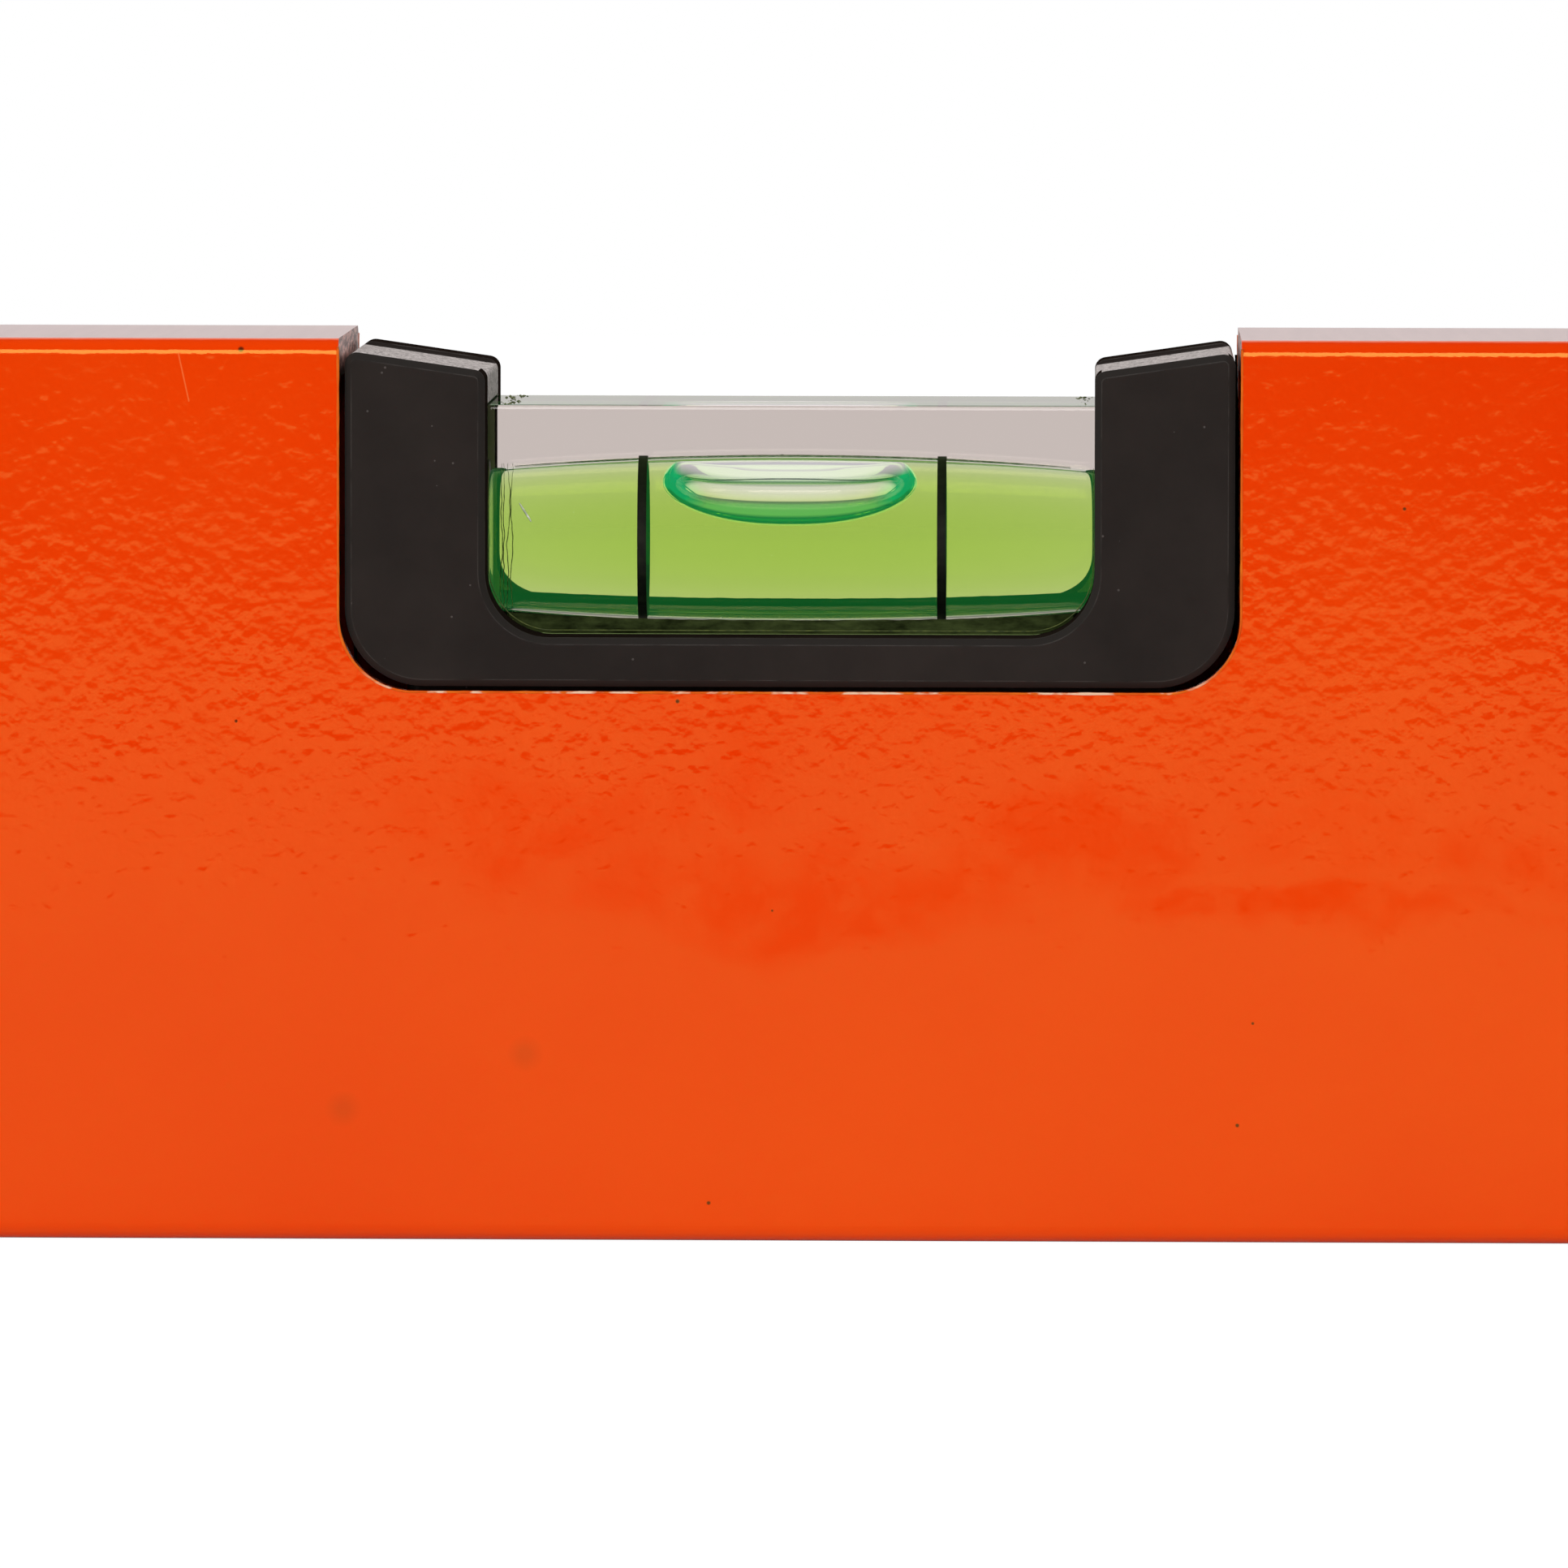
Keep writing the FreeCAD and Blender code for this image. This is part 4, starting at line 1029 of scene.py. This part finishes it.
def makeFlecks():
    bm = bmesh.new()
    (fromX, fromZ), (toX, toZ) = paleScratch["from"], paleScratch["to"]
    front = Vector((0, blockLow.y, 0))
    points = [Vector((fromX + (toX - fromX) * i / 12, 0, fromZ + (toZ - fromZ) * i / 12)) * mm
              + front for i in range(13)]
    sweep(bm, points, paleScratch["radius"], 6)
    rng = random.Random(12)
    for name in ("crackle", "lintFace", "lintLow"):
        group = flecks[name]
        for _ in range(group["count"]):
            x = group["middle"][0] + rng.uniform(-1, 1) * group["spread"][0]
            z = group["middle"][1] + rng.uniform(-1, 1) * group["spread"][1]
            size = group["size"] * mm * rng.uniform(0.5, 1.3)
            addFleck(bm, Vector((x * mm, blockLow.y, z * mm)), size, rng)
    bmesh.ops.recalc_face_normals(bm, faces=bm.faces)
    pale = flatMaterial("paleLint", (0.34, 0.42, 0.26, 1), (0.75, 0.80, 0.66, 1))
    newPiece("pale_flecks", bm, pale)

    bm = bmesh.new()
    near, far = blockLow.y + 0.4 * mm, blockHigh.y - 0.4 * mm
    for name in ("glueTopLeft", "glueTopRight"):
        group = flecks[name]
        for _ in range(group["count"]):
            x = group["middle"][0] + rng.gauss(0, 0.5) * group["spread"][0]
            y = rng.uniform(near, far)
            size = group["size"] * mm * rng.uniform(0.5, 1.4)
            addFleck(bm, Vector((x * mm, y, group["middle"][1] * mm)), size, rng)
    bmesh.ops.recalc_face_normals(bm, faces=bm.faces)
    dried = flatMaterial("driedGlue", (0.05, 0.06, 0.02, 1), (0.22, 0.24, 0.10, 1))
    newPiece("glue_crumbs", bm, dried)

    bm = bmesh.new()
    addFleck(bm, bubbleSpeck["place"], bubbleSpeck["size"], rng)
    bmesh.ops.recalc_face_normals(bm, faces=bm.faces)
    brown = flatMaterial("brownSpeck", (0.05, 0.02, 0.005, 1), (0.14, 0.06, 0.01, 1))
    newPiece("brown_speck", bm, brown)


def makeBubbleEdgeShade():
    # painted shade: a thin dark line on the bubble's front, where it lies against the bore
    around, skin = bubbleShape["around"], levelBubble.data.vertices
    more = bubbleEdgeShade["end"] - bubbleEdgeShade["middle"]
    points = []
    for k in range(around // 2 + 1, around):
        share = bubbleEdgeShade["middle"] + more * math.cos(2 * math.pi * k / around) ** 4
        bend = share * bubbleShape["bends"]
        ring = 4 + int(bend)  # after the four rings of the flat underside
        lower, upper = skin[ring * around + k].co, skin[(ring + 1) * around + k].co
        points.append(lower.lerp(upper, bend % 1))
    bm = bmesh.new()
    points = [point for point in points if abs(point.x) < bubbleEdgeShade["reach"]]
    sweep(bm, points, bubbleEdgeShade["radius"], 6)
    brown = flatMaterial("edgeShadeBrown", (0.012, 0.008, 0.006, 1), (0.04, 0.028, 0.02, 1))
    newPiece("bubble_edge_shade", bm, brown, "level_bubble")


def makeNotchGapShades():
    # a dark strip of painted shade fills the narrow gap between the holder and each end of the notch
    dark, darker = (0.012, 0.009, 0.007, 1), (0.004, 0.003, 0.002, 1)
    material = makeGlueAndShadeStreaks("paintedGapShade", darker, dark, 900)
    rise = (notchGapShade["high"] - notchGapShade["low"]) / 60
    heights = [notchGapShade["low"] + rise * i for i in range(61)]
    for side, sign in (("left", -1), ("right", 1)):
        bm = bmesh.new()
        x = sign * notchGapShade["x"]
        sweep(bm, [Vector((x, notchGapShade["y"], z)) for z in heights], notchGapShade["radius"])
        newPiece(f"notch_gap_shade_{side}", bm, material)


makeWindowGlue()
makeGlueSeams()
makeBoreLine()
makeFlecks()
makeBubbleEdgeShade()
makeNotchGapShades()
print("seams and specks ready")


# the two plumb vials, with their bores upright

plumbVial = {"radius": 4.5 * mm, "curve": 150 * mm, "bubbleRound": 1.4 * mm, "around": 64}


def plumbBubbleMesh(low, high, grow):
    # a round-edged cushion of air that fills the bore's top end
    middle = (low + high) / 2
    radius = (high.x - low.x) / 2 + grow
    bottom, top = low.z - grow, high.z + grow
    bm = bmesh.new()
    turn = plumbVial["bubbleRound"]
    profile = [(radius * 0.35, bottom), (radius * 0.7, bottom)]
    for i in range(9):
        a = math.pi / 2 * i / 8
        profile.append((radius - turn + turn * math.sin(a), bottom + turn - turn * math.cos(a)))
    for i in range(9):
        a = math.pi / 2 * i / 8
        profile.append((radius - turn + turn * math.cos(a), top - turn + turn * math.sin(a)))
    profile += [(radius * 0.7, top), (radius * 0.35, top)]
    closeTube(bm, [
        [bm.verts.new((middle.x + r * math.cos(a), middle.y + r * math.sin(a), z))
         for a in circleAngles(plumbVial["around"])]
        for r, z in profile
    ])
    return bm


def makePlumbVial(side):
    blockNode = f"plumb_{side}_vial_block"
    low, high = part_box(blockNode)
    centre = (low + high) / 2
    makeBlock(f"vial_block_plumb_{side}", blockNode)
    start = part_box(f"plumb_{side}_fluid")[0].z - centre.z
    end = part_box(f"plumb_{side}_bubble")[1].z + 0.12 * mm - centre.z
    fluid = makeFluidPiece(f"fluid_plumb_{side}", f"plumb_{side}_fluid", plumbVial, start, end,
                           lambda x, y, z: Vector((centre.x + y, centre.y + z, centre.z + x)))
    bubbleLow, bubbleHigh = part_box(f"plumb_{side}_bubble")
    body = f"plumb_{side}_bubble"
    mesh = plumbBubbleMesh(bubbleLow, bubbleHigh, -0.02 * mm)
    bubble = newPiece(f"bubble_plumb_{side}", mesh, bubbleSkin, body)
    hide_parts(f"plumb_{side}_bubble")
    room = plumbBubbleMesh(bubbleLow, bubbleHigh, 0.0)
    cutter = newPiece(f"bubble_room_plumb_{side}", room, fluidGreen, body)
    hollowFor(fluid, cutter)
    for part in ("ring_lower", "ring_upper", "vial_plug"):
        dress(f"plumb_{side}_{part}", ringBlack)


for side in ("left", "right"):
    makePlumbVial(side)
print("plumb vials ready")
